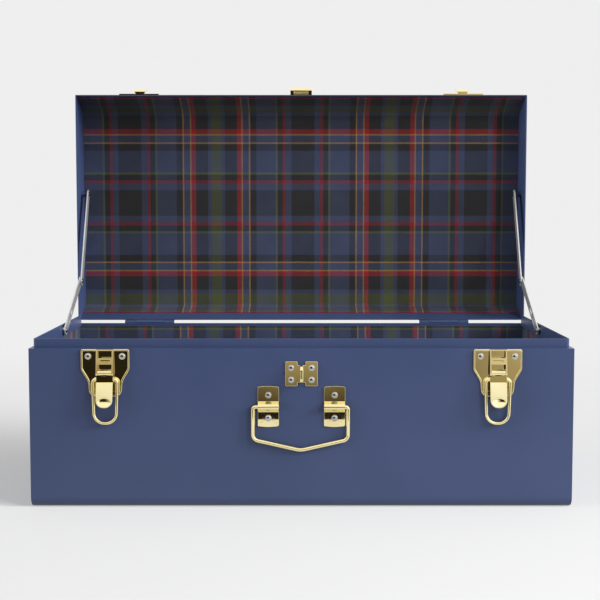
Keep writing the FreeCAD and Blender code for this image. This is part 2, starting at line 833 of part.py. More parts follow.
def latch_plate(name, x):
    body = new_body(name)
    pan = new_sketch(body, "XZ")
    latch_pan(pan, "0")
    pad(body, pan, "latch_plate_thick + latch_border_height")
    tray = new_sketch(body, "XZ", "latch_plate_thick + latch_border_height")
    latch_pan(tray, "latch_border")
    cut(body, tray, "latch_border_height")
    border = size("latch_border")
    round_pan(body, "latch_corner_radius", -size("latch_top_drop"))
    round_pan(body, "latch_corner_radius / 2", -size("latch_top_drop") - border)
    round_pan(body, "latch_shoulder_radius", -size("latch_straight"))
    round_pan(body, "latch_shoulder_radius - latch_border", -size("latch_straight") + border / 2)
    round_pan(body, "latch_waist_radius", -size("latch_waist_drop"))
    round_pan(body, "latch_waist_radius", -size("latch_waist_drop") + border / 2)
    round_pan(body, "latch_tail_radius", -size("latch_length"))
    round_pan(body, "latch_tail_radius - latch_border", -size("latch_length") + border)
    crest = -size("latch_plate_thick") - size("latch_border_height")
    rounded(body, "0.42 * latch_border", lambda at, way: near(at.y, crest))
    cheeks = new_sketch(body, "YZ")
    nose_out = "-(lever_pin_out + cheek_nose)"
    nose_low = "-(lever_pin_drop + cheek_nose)"
    outline(cheeks, [
        ("-latch_plate_thick / 2", "-latch_top_drop"), ("-cheek_top_out", "-latch_top_drop"),
        (nose_out, "-lever_pin_drop"), (nose_out, nose_low), ("-latch_plate_thick / 2", nose_low),
    ])
    pad(body, cheeks, "cheek_spread", "Symmetric")
    nose = (-size("lever_pin_out") - size("cheek_nose"), -size("lever_pin_drop") - size("cheek_nose"))
    rounded(body, "cheek_nose * 0.9", at_point(nose))
    gap = new_sketch(body, "XZ", "lever_pin_out + 2 * cheek_nose")
    half_gap = "cheek_spread / 2 - cheek_thick"
    rectangle(gap, f"-({half_gap})", half_gap, "-latch_length / 2 - lever_pin_drop / 2",
              "-latch_top_drop - cheek_thick")
    cut(body, gap, "lever_pin_out + 2 * cheek_nose - latch_plate_thick")
    cheek_lean = "(lever_pin_out + cheek_nose - cheek_top_out) / (lever_pin_drop - latch_top_drop)"
    bridge_low = "bridge_top + bridge_length"
    top_out = f"-cheek_top_out - (bridge_top - latch_top_drop) * {cheek_lean}"
    low_out = f"-cheek_top_out - ({bridge_low} - latch_top_drop) * {cheek_lean}"
    bridge = new_sketch(body, "YZ")
    outline(bridge, [
        (top_out, "-bridge_top"), (low_out, f"-({bridge_low})"),
        (f"{low_out} + bridge_thick", f"-({bridge_low})"), (f"{top_out} + bridge_thick", "-bridge_top"),
    ])
    pad(body, bridge, "cheek_spread - cheek_thick", "Symmetric")
    slot_middle = "bridge_top + bridge_length / 2"
    slot = new_sketch(body, "XZ", "lever_pin_out + 2 * cheek_nose")
    rectangle(slot, "-bridge_slot_width / 2", "bridge_slot_width / 2",
              f"-({slot_middle}) - bridge_slot_length / 2", f"-({slot_middle}) + bridge_slot_length / 2")
    cut(body, slot, "lever_pin_out + 2 * cheek_nose - latch_plate_thick")
    bore = new_sketch(body, "YZ")
    circle(bore, "-lever_pin_out", "-lever_pin_drop", "lever_pin_radius + pin_clearance")
    cut(body, bore)
    holes = new_sketch(body, "XZ")
    for sign in sides.values():
        circle(holes, f"{sign} * latch_rivet_spread / 2", "-latch_rivet_drop", rivet_hole)
    cut(body, holes)
    place(body, x, front_face, "tub_height")


lever_y = f"{front_face} - lever_pin_out"
lever_z = "tub_height - lever_pin_drop"


def latch_pin(name, x):
    pin = round_pin(name, "lever_pin_radius", "cheek_spread")
    place(pin, f"{x} - cheek_spread / 2", lever_y, lever_z, along_x)


def latch_lever(name, x):
    body = new_body(name)
    inner_width = "cheek_spread - 2 * cheek_thick - 2 * lever_gap"
    barrel = new_sketch(body, "YZ")
    circle(barrel, "0", "0", "lever_barrel_radius")
    pad(body, barrel, inner_width, "Symmetric")
    web = new_sketch(body, "YZ")
    rectangle(web, "-lever_web_thick / 2", "lever_web_thick / 2",
              "-lever_tongue_start - lever_thick", "0")
    pad(body, web, inner_width, "Symmetric")
    tongue = new_sketch(body, "XZ")
    tongue.AttachmentOffset = FreeCAD.Placement(FreeCAD.Vector(), FreeCAD.Rotation(x_axis, -1))
    tie(tongue, "AttachmentOffset.Base.y", "-lever_tongue_start")
    tie(tongue, "AttachmentOffset.Base.z", "lever_web_thick / 4")
    tie(tongue, "AttachmentOffset.Rotation.Angle", "-lever_tilt")
    reach = "(lever_length - lever_tongue_start)"
    rectangle(tongue, "-lever_width / 2", "lever_width / 2", f"-{reach}", "0")
    pad(body, tongue, "lever_thick")
    half_width = size("lever_width") / 2
    low = -0.8 * size("lever_length")
    rounded(body, "0.45 * lever_width", lambda at, way: near(abs(at.x), half_width) and at.z < low)
    flange = new_sketch(body, "YZ")
    outline(flange, [
        ("loop_pivot_in + loop_wire_radius * 1.9", "-lever_flange_start"),
        ("loop_pivot_in + loop_wire_radius * 1.9", "-(loop_pivot_drop + loop_wire_radius * 1.9)"),
        ("-lever_web_thick / 2", "-(lever_tongue_start + loop_wire_radius)"),
        ("-lever_web_thick / 2", "-lever_flange_start"),
    ])
    pad(body, flange, "lever_width", "Symmetric")
    hollow = new_sketch(body, "XY")
    inner_half = "(lever_width / 2 - lever_flange_thick)"
    rectangle(hollow, f"-{inner_half}", inner_half, "lever_web_thick / 2", "lever_pin_out")
    cut(body, hollow)
    dimple = body.newObject("PartDesign::SubtractiveEllipsoid", name + "_dimple")
    tie(dimple, "Radius1", "lever_dimple_tall")
    tie(dimple, "Radius2", "lever_dimple_wide")
    tie(dimple, "Radius3", "lever_dimple_deep")
    dimple.AttachmentOffset = FreeCAD.Placement(FreeCAD.Vector(), FreeCAD.Rotation(x_axis, -1))
    along = "(lever_dimple_drop - lever_tongue_start)"
    tie(dimple, "AttachmentOffset.Base.y",
        f"-lever_web_thick / 4 - {along} * sin(lever_tilt) - lever_thick * cos(lever_tilt)")
    tie(dimple, "AttachmentOffset.Base.z",
        f"-lever_tongue_start - {along} * cos(lever_tilt) + lever_thick * sin(lever_tilt)")
    tie(dimple, "AttachmentOffset.Rotation.Angle", "-lever_tilt")
    doc.recompute()
    bore = new_sketch(body, "YZ")
    circle(bore, "0", "0", "lever_pin_radius + pin_clearance")
    circle(bore, "loop_pivot_in", "-loop_pivot_drop", "loop_wire_radius + pin_clearance")
    cut(body, bore)
    place(body, x, lever_y, lever_z)


def latch_loop(name, x):
    top = size("loop_top_spread") / 2
    bottom = size("loop_bottom_spread") / 2
    end = size("lever_width") / 2 - size("loop_end_depth")
    length = size("loop_length")
    corners = [
        FreeCAD.Vector(-end, 0, 0), FreeCAD.Vector(-top, 0, 0), FreeCAD.Vector(-bottom, 0, -length),
        FreeCAD.Vector(bottom, 0, -length), FreeCAD.Vector(top, 0, 0), FreeCAD.Vector(end, 0, 0),
    ]
    shoulder = size("loop_shoulder_radius")
    base = size("loop_bottom_radius")
    loop = bent_wire(name, corners, [shoulder, base, base, shoulder], size("loop_wire_radius"))
    place(loop, x, f"{lever_y} + loop_pivot_in", f"{lever_z} - loop_pivot_drop")


# Catches: plates bent to the lid's front wall, each with an upturned hook for a latch loop.

def catch(name, x):
    body = new_body(name)
    thick = "-catch_thick"
    plate = new_sketch(body, "YZ")
    outline(plate, [
        (inside("front", "0"), "catch_foot"), bend_point("front", "0"), on_slope("catch_length", "0"),
        on_slope("catch_length", "catch_thick"), bend_point("front", thick),
        (inside("front", thick), "catch_foot"),
    ])
    pad(body, plate, "catch_width", "Symmetric")
    half_width = size("catch_width") / 2
    bend = size("lid_rim_straight")
    top = bend + size("catch_length") * math.cos(math.radians(size("lid_front_lean")))
    rounded(body, "catch_corner_radius",
            lambda at, way: near(abs(at.x), half_width) and at.z > top and not runs(way, x_axis))
    seat = "hook_seat_rise"
    under = "hook_seat_rise - hook_thick"
    hook = new_sketch(body, "YZ")
    outline(hook, [
        slope_point("front", under, "-catch_thick / 2"), (inside("front", "-hook_reach"), under),
        (inside("front", "-hook_reach"), "hook_tip_rise"),
        (inside("front", "-(hook_reach - hook_thick)"), "hook_tip_rise"),
        (inside("front", "-(hook_reach - hook_thick)"), seat),
        slope_point("front", seat, "-catch_thick / 2"),
    ])
    pad(body, hook, "hook_width", "Symmetric")
    front = -size("hinge_axis_offset") - size("trunk_depth")
    reach = front - size("hook_reach")
    inner = reach + size("hook_thick")
    low = size("hook_seat_rise") - size("hook_thick")
    rounded(body, "hook_bend_radius", at_point((reach, low)))
    rounded(body, "hook_bend_radius - hook_thick", at_point((inner, size("hook_seat_rise"))))
    flanks = new_sketch(body, "XY")
    for sign in sides.values():
        outline(flanks, [
            (f"{sign} * hook_neck / 2", inside("front", "-catch_thick - hook_thick / 4")),
            (f"{sign} * hook_width / 2", inside("front", "-(hook_reach - hook_thick / 2)")),
            (f"{sign} * hook_width", inside("front", "-catch_thick - hook_thick / 4")),
        ])
    cut(body, flanks)
    holes = slope_sketch(body)
    for sign in sides.values():
        circle(holes, f"{sign} * catch_rivet_spread / 2", "catch_rivet_along", rivet_hole)
    cut(body, holes)
    place_on_lid(body, x)


# Padlock staple: two riveted plates and an eye of folded sheet between them.

def staple():
    body = new_body("staple")
    half = "staple_width / 2"
    tall = "staple_height / 2"
    waist = "staple_waist_width / 2"
    low = "staple_waist_height / 2"
    plate = new_sketch(body, "XZ")
    outline(plate, [
        (f"-{half}", tall), (f"-{half}", f"-{tall}"), (f"-{waist}", f"-{tall}"), (f"-{waist}", f"-{low}"),
        (waist, f"-{low}"), (waist, f"-{tall}"), (half, f"-{tall}"), (half, tall),
        (waist, tall), (waist, low), (f"-{waist}", low), (f"-{waist}", tall),
    ])
    pad(body, plate, "staple_thick")
    top = size("staple_height") / 2
    rounded(body, "staple_corner_radius", lambda at, way: runs(way, y_axis) and near(abs(at.z), top))
    eye = new_sketch(body, "YZ")
    rectangle(eye, "-eye_reach", "0", f"-{low}", low)
    pad(body, eye, "eye_thick", "Symmetric")
    reach = -size("eye_reach")
    rounded(body, "eye_radius", lambda at, way: runs(way, x_axis) and near(at.y, reach))
    bore = new_sketch(body, "YZ")
    circle(bore, "-eye_hole_out", "0", "eye_hole_radius")
    cut(body, bore)
    holes = new_sketch(body, "XZ")
    for sign in sides.values():
        for hand in sides.values():
            across = f"{sign} * staple_rivet_x_spread / 2"
            circle(holes, across, f"{hand} * staple_rivet_z_spread / 2", rivet_hole)
    cut(body, holes)
    place(body, "0", front_face, "tub_height - staple_drop")


# Hasp: a leaf riveted to the lid, and a slotted flap that swings down over the staple's eye.

hasp_pin_hole = "hasp_pin_radius + pin_clearance"
hasp_y = f"{hinge_y} + hasp_axis_rise"
hasp_z = f"{hinge_z} + hinge_axis_offset + trunk_depth + hasp_axis_out"


def hasp_leaf():
    body = new_body("hasp_leaf")
    thick = "-hasp_leaf_thick"
    foot = "hasp_axis_rise - hasp_knuckle_radius"
    plate = new_sketch(body, "YZ")
    outline(plate, [
        (inside("front", "0"), foot), bend_point("front", "0"), on_slope("hasp_leaf_length", "0"),
        on_slope("hasp_leaf_length", "hasp_leaf_thick"), bend_point("front", thick),
        (inside("front", thick), f"{foot} + hasp_leaf_thick"),
        (inside("front", "-hasp_axis_out"), f"{foot} + hasp_leaf_thick"),
        (inside("front", "-hasp_axis_out"), foot),
    ])
    pad(body, plate, "hasp_width", "Symmetric")
    barrel = new_sketch(body, "YZ")
    circle(barrel, inside("front", "-hasp_axis_out"), "hasp_axis_rise", "hasp_knuckle_radius")
    pad(body, barrel, "hasp_width", "Symmetric")
    far_out = "hasp_axis_out + 2 * hasp_knuckle_radius"
    gap = new_sketch(body, "XZ", f"hinge_axis_offset + trunk_depth + {far_out}")
    rectangle(gap, "-hasp_middle / 2", "hasp_middle / 2", "-hasp_knuckle_radius",
              "hasp_axis_rise + hasp_knuckle_radius + hasp_gap")
    cut(body, gap, f"{far_out} - hasp_leaf_thick")
    bore = new_sketch(body, "YZ")
    circle(bore, inside("front", "-hasp_axis_out"), "hasp_axis_rise", hasp_pin_hole)
    cut(body, bore)
    holes = slope_sketch(body)
    for across in hasp_rivet_places:
        circle(holes, across, "hasp_rivet_along", rivet_hole)
    cut(body, holes)
    place_on_lid(body)


def hasp_flap():
    body = new_body("hasp_flap")
    neck = "(hasp_middle / 2 - hasp_gap)"
    half = "hasp_width / 2"
    tip = "hasp_flap_tip / 2"
    shoulder = "-hasp_knuckle_radius - hasp_gap"
    taper = "-hasp_flap_length + hasp_flap_taper"
    plate = new_sketch(body, "XZ", "-hasp_flap_thick / 2")
    outline(plate, [
        (f"-{neck}", "0"), (f"-{neck}", shoulder), (f"-{half}", shoulder), (f"-{half}", taper),
        (f"-{tip}", "-hasp_flap_length"), (tip, "-hasp_flap_length"), (half, taper),
        (half, shoulder), (neck, shoulder), (neck, "0"),
    ])
    pad(body, plate, "hasp_flap_thick")
    low = -size("hasp_flap_length")
    turn = low + size("hasp_flap_taper")
    rounded(body, "hasp_tip_radius",
            lambda at, way: runs(way, y_axis) and (near(at.z, low) or near(at.z, turn)))
    barrel = new_sketch(body, "YZ")
    circle(barrel, "0", "0", "hasp_knuckle_radius")
    pad(body, barrel, "hasp_middle - 2 * hasp_gap", "Symmetric")
    slot = new_sketch(body, "XZ")
    slot_half = "(eye_thick / 2 + hasp_slot_room)"
    slot_tall = "(staple_waist_height / 2 + hasp_slot_room)"
    slot_drop = "(hasp_axis_rise + staple_drop)"
    rectangle(slot, f"-{slot_half}", slot_half,
              f"-{slot_drop} - {slot_tall}", f"-{slot_drop} + {slot_tall}")
    cut(body, slot)
    slot_wide = size("eye_thick") / 2 + size("hasp_slot_room")
    rounded(body, f"{slot_half} * 0.9", lambda at, way: runs(way, y_axis) and near(abs(at.x), slot_wide))
    bore = new_sketch(body, "YZ")
    circle(bore, "0", "0", hasp_pin_hole)
    cut(body, bore)
    place(body, "0", hasp_y, hasp_z, FreeCAD.Rotation(x_axis, 1))
    tie(body, "Placement.Rotation.Angle", "270 - hasp_fold")


def hasp_pin():
    pin = round_pin("hasp_pin", "hasp_pin_radius", "hasp_width")
    place(pin, "-hasp_width / 2", hasp_y, hasp_z, along_x)


# Drop handle: two riveted straps with a raised bridge, and a bail of bent wire held under them.

def handle_bracket(name, x):
    body = new_body(name)
    half = "bracket_width / 2"
    corner = "(bracket_height / 2 - bracket_crown)"
    strap = new_sketch(body, "XZ")
    outline(strap, [
        (f"-{half}", corner), (f"-{half}", f"-{corner}"), ("0", "-bracket_height / 2"),
        (half, f"-{corner}"), (half, corner), ("0", "bracket_height / 2"),
    ])
    pad(body, strap, "bracket_thick")
    rounded(body, "bracket_crown_radius", lambda at, way: runs(way, y_axis) and near(at.x, 0))
    half_width = size("bracket_width") / 2
    rounded(body, "bracket_corner_radius",
            lambda at, way: runs(way, y_axis) and near(abs(at.x), half_width))
    arch = "(bail_wire_radius + bail_clearance + bracket_thick)"
    bridge = new_sketch(body, "YZ")
    outline(bridge, [
        ("0", "-bridge_foot / 2"), ("-bracket_thick", "-bridge_foot / 2"),
        (f"-bail_axis_out - {arch} / 2", f"-{arch} * sin(60)"),
        (f"-bail_axis_out - {arch} / 2", f"{arch} * sin(60)"),
        ("-bracket_thick", "bridge_foot / 2"), ("0", "bridge_foot / 2"),
    ])
    pad(body, bridge, "bracket_width", "Symmetric")
    barrel = new_sketch(body, "YZ")
    circle(barrel, "-bail_axis_out", "0", arch)
    pad(body, barrel, "bracket_width", "Symmetric")
    channel = new_sketch(body, "YZ")
    room = "(bail_wire_radius + bail_clearance)"
    circle(channel, "-bail_axis_out", "0", room)
    cut(body, channel)
    mouth = new_sketch(body, "YZ")
    rectangle(mouth, "-bail_axis_out", "bail_axis_out", f"-{room}", room)
    cut(body, mouth)
    holes = new_sketch(body, "XZ")
    for sign in sides.values():
        circle(holes, "0", f"{sign} * bracket_rivet_spread / 2", rivet_hole)
    cut(body, holes)
    place(body, x, front_face, "tub_height - handle_drop")


def handle_bail():
    side = size("bail_width") / 2 - size("bail_wire_radius")
    end = size("bail_end_reach")
    corner = size("bail_side_drop")
    corners = [
        FreeCAD.Vector(-end, 0, 0), FreeCAD.Vector(-side, 0, 0), FreeCAD.Vector(-side, 0, -corner),
        FreeCAD.Vector(0, 0, -size("bail_drop")),
        FreeCAD.Vector(side, 0, -corner), FreeCAD.Vector(side, 0, 0), FreeCAD.Vector(end, 0, 0),
    ]
    top = size("bail_top_radius")
    low = size("bail_corner_radius")
    bends = [top, low, size("bail_middle_radius"), low, top]
    bail = bent_wire("handle_bail", corners, bends, size("bail_wire_radius"))
    place(bail, "-bail_slip", f"{front_face} - bail_axis_out", "tub_height - handle_drop")


# Lid stays: two flat links at each end, jointed at an elbow, from a stud on the lip to a boss on the lid.

link_face = "trunk_width / 2 - lip_side_inset - lip_thick - stay_foot_gap"
upper_face = f"{link_face} - stay_thick - stay_gap"
foot_y = f"{hinge_y} - stay_foot_ahead"
foot_z = f"{hinge_z} + stay_foot_rise"
elbow_y = f"{foot_y} + stay_lower_length * cos(stay_lower_angle)"
elbow_z = f"{foot_z} + stay_lower_length * sin(stay_lower_angle)"
top_y = f"{elbow_y} + stay_upper_length * cos(stay_upper_angle)"
top_z = f"{elbow_z} + stay_upper_length * sin(stay_upper_angle)"
pivot_hole = "stay_pin_radius + pin_clearance"


def stay_link(name, length, slotted, x, y, z, angle):
    body = new_body(name)
    bar = new_sketch(body, "YZ")
    rectangle(bar, "-stay_width / 2", f"{length} + stay_width / 2", "-stay_width / 2", "stay_width / 2")
    pad(body, bar, "stay_thick")
    rounded(body, "0.49 * stay_width", lambda at, way: runs(way, x_axis))
    holes = new_sketch(body, "YZ")
    circle(holes, "0", "0", pivot_hole)
    circle(holes, length, "0", pivot_hole)
    if slotted:
        rectangle(holes, "stay_slot_place - stay_slot_length / 2", "stay_slot_place + stay_slot_length / 2",
                  "-stay_slot_width / 2", "stay_slot_width / 2")
    cut(body, holes)
    place(body, x, y, z, FreeCAD.Rotation(x_axis, 1))
    tie(body, "Placement.Rotation.Angle", angle)


def stay_head(start):
    """Corners of a domed rivet head that starts at a height, from its rim to its middle."""
    return [("stay_head_radius", start), ("0.6 * stay_head_radius", f"{start} + stay_head_height"),
            ("0", f"{start} + stay_head_height")]


def foot_stud(name, x, turn):
    step = "stay_foot_gap - stay_end_play"
    head = "stay_foot_gap + stay_thick + stay_end_play"
    stud = turned(name, [
        ("0", "0"), ("stay_collar_radius", "0"), ("stay_collar_radius", step), ("stay_pin_radius", step),
        ("stay_pin_radius", head)] + stay_head(head))
    place(stud, x, foot_y, foot_z, turn)


def elbow_rivet(name, x, turn):
    head = "2 * stay_thick + stay_gap + stay_end_play"
    tail = "-stay_end_play - stay_head_height / 2"
    rivet_body = turned(name, [
        ("0", tail), ("stay_head_radius", tail), ("stay_head_radius", "-stay_end_play"),
        ("stay_pin_radius", "-stay_end_play"), ("stay_pin_radius", head)] + stay_head(head))
    place(rivet_body, x, elbow_y, elbow_z, turn)


def top_rivet(name, x, turn):
    head = "stay_thick"
    rivet_body = turned(name, [
        ("0", "0"), ("stay_pin_radius", "0"), ("stay_pin_radius", head)] + stay_head(head))
    place(rivet_body, x, top_y, top_z, turn)


def lid_boss(name, x, turn):
    reach = f"trunk_width / 2 - wall_thick - ({upper_face}) - stay_gap"
    boss = turned(name, [
        ("0", "0"), ("stay_flange_radius", "0"), ("stay_flange_radius", "stay_flange_thick"),
        ("stay_boss_radius", "stay_flange_thick"), ("stay_boss_radius", reach), ("0", reach)])
    place(boss, x, top_y, top_z, turn)


def build():
    tub_wrap()
    tub_end("tub_end_left", "-trunk_width / 2")
    tub_end("tub_end_right", "trunk_width / 2 - wall_thick")
    tub_lip()
    tub_lining_wrap()
    tub_lining_end("tub_lining_end_left", "-trunk_width / 2 + wall_thick + lining_fit")
    tub_lining_end("tub_lining_end_right", "trunk_width / 2 - wall_thick - lining_fit - lining_thick")
    lid_wrap()
    lid_end("lid_end_left", "-trunk_width / 2")
    lid_end("lid_end_right", "trunk_width / 2 - wall_thick")
    lid_lining()
    for side, sign in sides.items():
        hinge_x = f"{sign} * hinge_{side}_place"
        hinge_tub_leaf(f"hinge_{side}_tub_leaf", hinge_x)
        hinge_lid_leaf(f"hinge_{side}_lid_leaf", hinge_x)
        hinge_pin(f"hinge_{side}_pin", hinge_x)
        latch_x = f"{sign} * latch_place"
        latch_plate(f"latch_{side}_plate", latch_x)
        latch_pin(f"latch_{side}_pin", latch_x)
        latch_lever(f"latch_{side}_lever", latch_x)
        latch_loop(f"latch_{side}_loop", latch_x)
        catch(f"catch_{side}", latch_x)
        handle_bracket(f"handle_{side}_bracket", f"{sign} * bracket_spread / 2")
        inward_turn = along_x if side == "left" else against_x
        outer = {"left": "0", "right": "-stay_thick"}[side]
        stay_link(f"stay_{side}_lower_link", "stay_lower_length", True,
                  f"{sign} * ({link_face}) + {outer}", foot_y, foot_z, "stay_lower_angle")
        stay_link(f"stay_{side}_upper_link", "stay_upper_length", False,
                  f"{sign} * ({upper_face}) + {outer}", elbow_y, elbow_z, "stay_upper_angle")
        foot_stud(f"stay_{side}_foot_stud", f"{sign} * ({link_face} + stay_foot_gap)", inward_turn)
        elbow_rivet(f"stay_{side}_elbow_rivet", f"{sign} * ({link_face})", inward_turn)
        top_rivet(f"stay_{side}_top_rivet", f"{sign} * ({upper_face})", inward_turn)
        lid_boss(f"stay_{side}_lid_boss", f"{sign} * (trunk_width / 2 - wall_thick)", inward_turn)
    handle_bail()
    staple()
    hasp_leaf()
    hasp_flap()
    hasp_pin()
    front_rivets("latch_rivets", latch_rivet_spots, "latch_plate_thick")
    front_rivets("staple_rivets", staple_rivet_spots, "staple_thick")
    front_rivets("handle_rivets", bracket_rivet_spots, "bracket_thick")
    lid_rivets("catch_rivets", catch_rivet_places, "catch_rivet_along", "catch_thick")
    lid_rivets("hasp_rivets", hasp_rivet_places, "hasp_rivet_along", "hasp_leaf_thick")


build()
doc.recompute()
for thing in doc.Objects:
    if "Invalid" in thing.State or "Error" in thing.State:
        raise RuntimeError("failed: " + thing.Label)
for thing in pieces:
    if thing.Shape.isNull() or not thing.Shape.isValid():
        raise RuntimeError("no valid shape: " + thing.Label)

os.makedirs("parts", exist_ok=True)
for thing in pieces:
    thing.Shape.exportStep(f"parts/{thing.Label}.step")
print(len(pieces), "pieces written")
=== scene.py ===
import json
import math
import bpy
import bmesh
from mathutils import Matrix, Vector


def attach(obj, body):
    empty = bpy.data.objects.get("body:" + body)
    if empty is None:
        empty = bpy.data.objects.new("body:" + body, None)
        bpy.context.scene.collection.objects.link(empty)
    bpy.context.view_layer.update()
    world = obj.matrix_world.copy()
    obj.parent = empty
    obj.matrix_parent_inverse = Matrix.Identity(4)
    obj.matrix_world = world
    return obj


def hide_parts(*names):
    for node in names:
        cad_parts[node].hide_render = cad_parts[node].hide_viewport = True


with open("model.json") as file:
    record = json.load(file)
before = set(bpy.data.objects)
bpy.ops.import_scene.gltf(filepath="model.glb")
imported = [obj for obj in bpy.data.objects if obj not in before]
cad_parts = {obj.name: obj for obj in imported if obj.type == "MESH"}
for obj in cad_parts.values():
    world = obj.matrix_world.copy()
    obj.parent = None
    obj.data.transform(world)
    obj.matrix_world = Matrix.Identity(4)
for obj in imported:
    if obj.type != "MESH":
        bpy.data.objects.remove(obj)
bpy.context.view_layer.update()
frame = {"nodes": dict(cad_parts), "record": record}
cad = frame["nodes"]
scene = bpy.context.scene
print("frame loaded,", len(cad), "nodes")

# sizes that several pieces share, in metres
trunk = {
    "width": 0.600, "depth": 0.300, "seam": 0.177, "wall": 0.0015,
    "hingeOut": 0.0029, "liningGap": 0.0002, "liningThick": 0.0015,
}
hingeY = trunk["depth"] / 2 + trunk["hingeOut"]
hingeZ = trunk["seam"] + trunk["hingeOut"]
frontY = -trunk["depth"] / 2
latchX = {"left": -0.2155, "right": 0.2155}  # middle of each latch

lidShape = {
    "height": 0.054, "straight": 0.0065, "frontLean": math.radians(22), "backLean": math.radians(15),
    "frontRound": 0.020, "backRound": 0.007, "liningStart": 0.0075, "liningEnd": 0.027,
}


def addMesh(name, verts, faces=(), edges=()):
    mesh = bpy.data.meshes.new(name)
    mesh.from_pydata(verts, edges, faces)
    mesh.update()
    obj = bpy.data.objects.new(name, mesh)
    scene.collection.objects.link(obj)
    return obj


def linear(red, green, blue):  # photo colour, 0 to 255, to shader colour
    def one(part):
        part /= 255
        return part / 12.92 if part <= 0.04045 else ((part + 0.055) / 1.055) ** 2.4
    return (one(red), one(green), one(blue), 1)


# camera, from the photo's own edges
viewPoint = {
    "side": -0.0016, "ahead": 1.3215, "height": 0.3343, "pitch": 4.487,
    "focal": 1211.4, "frame": 600, "sensor": 36,  # pixels, pixels, millimetres
}

camData = bpy.data.cameras.new("camera")
camData.sensor_width = viewPoint["sensor"]
camData.lens = viewPoint["focal"] * viewPoint["sensor"] / viewPoint["frame"]
camera = bpy.data.objects.new("camera", camData)
camera.location = (viewPoint["side"], frontY - viewPoint["ahead"], viewPoint["height"])
camera.rotation_euler = (math.radians(90 - viewPoint["pitch"]), 0, 0)
scene.collection.objects.link(camera)
scene.camera = camera
scene.view_settings.view_transform = "Standard"
print("camera set")


# node helpers for materials and light
def addNode(tree, kind, values=None, **settings):
    node = tree.nodes.new(kind)
    for key, value in settings.items():
        setattr(node, key, value)
    for key, value in (values or {}).items():
        node.inputs[key].default_value = value
    return node


def math2(tree, operation, first, second):
    node = addNode(tree, "ShaderNodeMath", operation=operation)
    for socket, value in zip(node.inputs, (first, second)):
        if isinstance(value, (int, float)):
            socket.default_value = value
        else:
            tree.links.new(value, socket)
    return node.outputs[0]


def newMaterial(name):
    material = bpy.data.materials.new(name)
    material.use_nodes = True
    tree = material.node_tree
    return material, tree, tree.nodes["Principled BSDF"]


def noise(tree, coords, scale, detail=3.0, stretch=None):
    if stretch:
        mapping = addNode(tree, "ShaderNodeMapping", {"Scale": stretch})
        tree.links.new(coords, mapping.inputs["Vector"])
        coords = mapping.outputs["Vector"]
    node = addNode(tree, "ShaderNodeTexNoise", {"Scale": scale, "Detail": detail})
    tree.links.new(coords, node.inputs["Vector"])
    return node.outputs["Fac"]


def spread(tree, value, low, high, fromLow=0.3, fromHigh=0.7):  # one range of values to another
    node = addNode(tree, "ShaderNodeMapRange",
                   {"From Min": fromLow, "From Max": fromHigh, "To Min": low, "To Max": high})
    tree.links.new(value, node.inputs["Value"])
    return node.outputs["Result"]


def blend(tree, factor, first, second, kind="RGBA"):  # colours or numbers, fixed or linked
    node = addNode(tree, "ShaderNodeMix", data_type=kind)
    firstInput, secondInput, result = (6, 7, 2) if kind == "RGBA" else (2, 3, 0)
    tree.links.new(factor, node.inputs[0])
    for number, value in ((firstInput, first), (secondInput, second)):
        if isinstance(value, tuple):
            node.inputs[number].default_value = value
        else:
            tree.links.new(value, node.inputs[number])
    return node.outputs[result]


def mixShaders(tree, factor, first, second):
    node = addNode(tree, "ShaderNodeMixShader")
    for socket, value in zip(node.inputs, (factor, first, second)):
        tree.links.new(value, socket)
    return node.outputs[0]


def axes(tree, coords):
    node = addNode(tree, "ShaderNodeSeparateXYZ")
    tree.links.new(coords, node.inputs[0])
    return node.outputs


def bump(tree, shader, height, strength, distance):
    node = addNode(tree, "ShaderNodeBump", {"Strength": strength, "Distance": distance})
    tree.links.new(height, node.inputs["Height"])
    tree.links.new(node.outputs["Normal"], shader.inputs["Normal"])


paintLook = {
    "dark": linear(45, 57, 87), "light": linear(50, 61, 93), "cloud": 9, "rough": (0.38, 0.44), "haze": 60,
    "peel": 420, "peelStrength": 0.05, "peelDepth": 0.0004, "gloss": 0.42,
}


def navyPaint():
    material, tree, shader = newMaterial("navyPaint")
    coords = addNode(tree, "ShaderNodeTexCoord").outputs["Object"]
    cloud = spread(tree, noise(tree, coords, paintLook["cloud"], 4), 0, 1)
    tree.links.new(blend(tree, cloud, paintLook["dark"], paintLook["light"]), shader.inputs["Base Color"])
    haze = noise(tree, coords, paintLook["haze"], 5)
    tree.links.new(spread(tree, haze, *paintLook["rough"]), shader.inputs["Roughness"])
    peel = noise(tree, coords, paintLook["peel"], 2)
    bump(tree, shader, peel, paintLook["peelStrength"], paintLook["peelDepth"])
    shader.inputs["Specular IOR Level"].default_value = paintLook["gloss"]
    return material


brassLook = {
    "dark": linear(240, 224, 166), "light": linear(250, 238, 188), "rough": (0.012, 0.04),
    "brush": 0.012, "metallic": 1,
}
steelLook = {
    "dark": linear(168, 169, 170), "light": linear(196, 196, 195), "rough": (0.06, 0.18),
    "brush": 0.04, "metallic": 1,
}
stayLook = {
    "dark": linear(190, 190, 189), "light": linear(204, 204, 202), "rough": (0.3, 0.36),
    "brush": 0.06, "metallic": 0.7,
}
metalGrain = {"cloud": 35, "haze": 160, "lines": 500, "stretch": (1, 1, 0.08), "lineDepth": 0.00008}


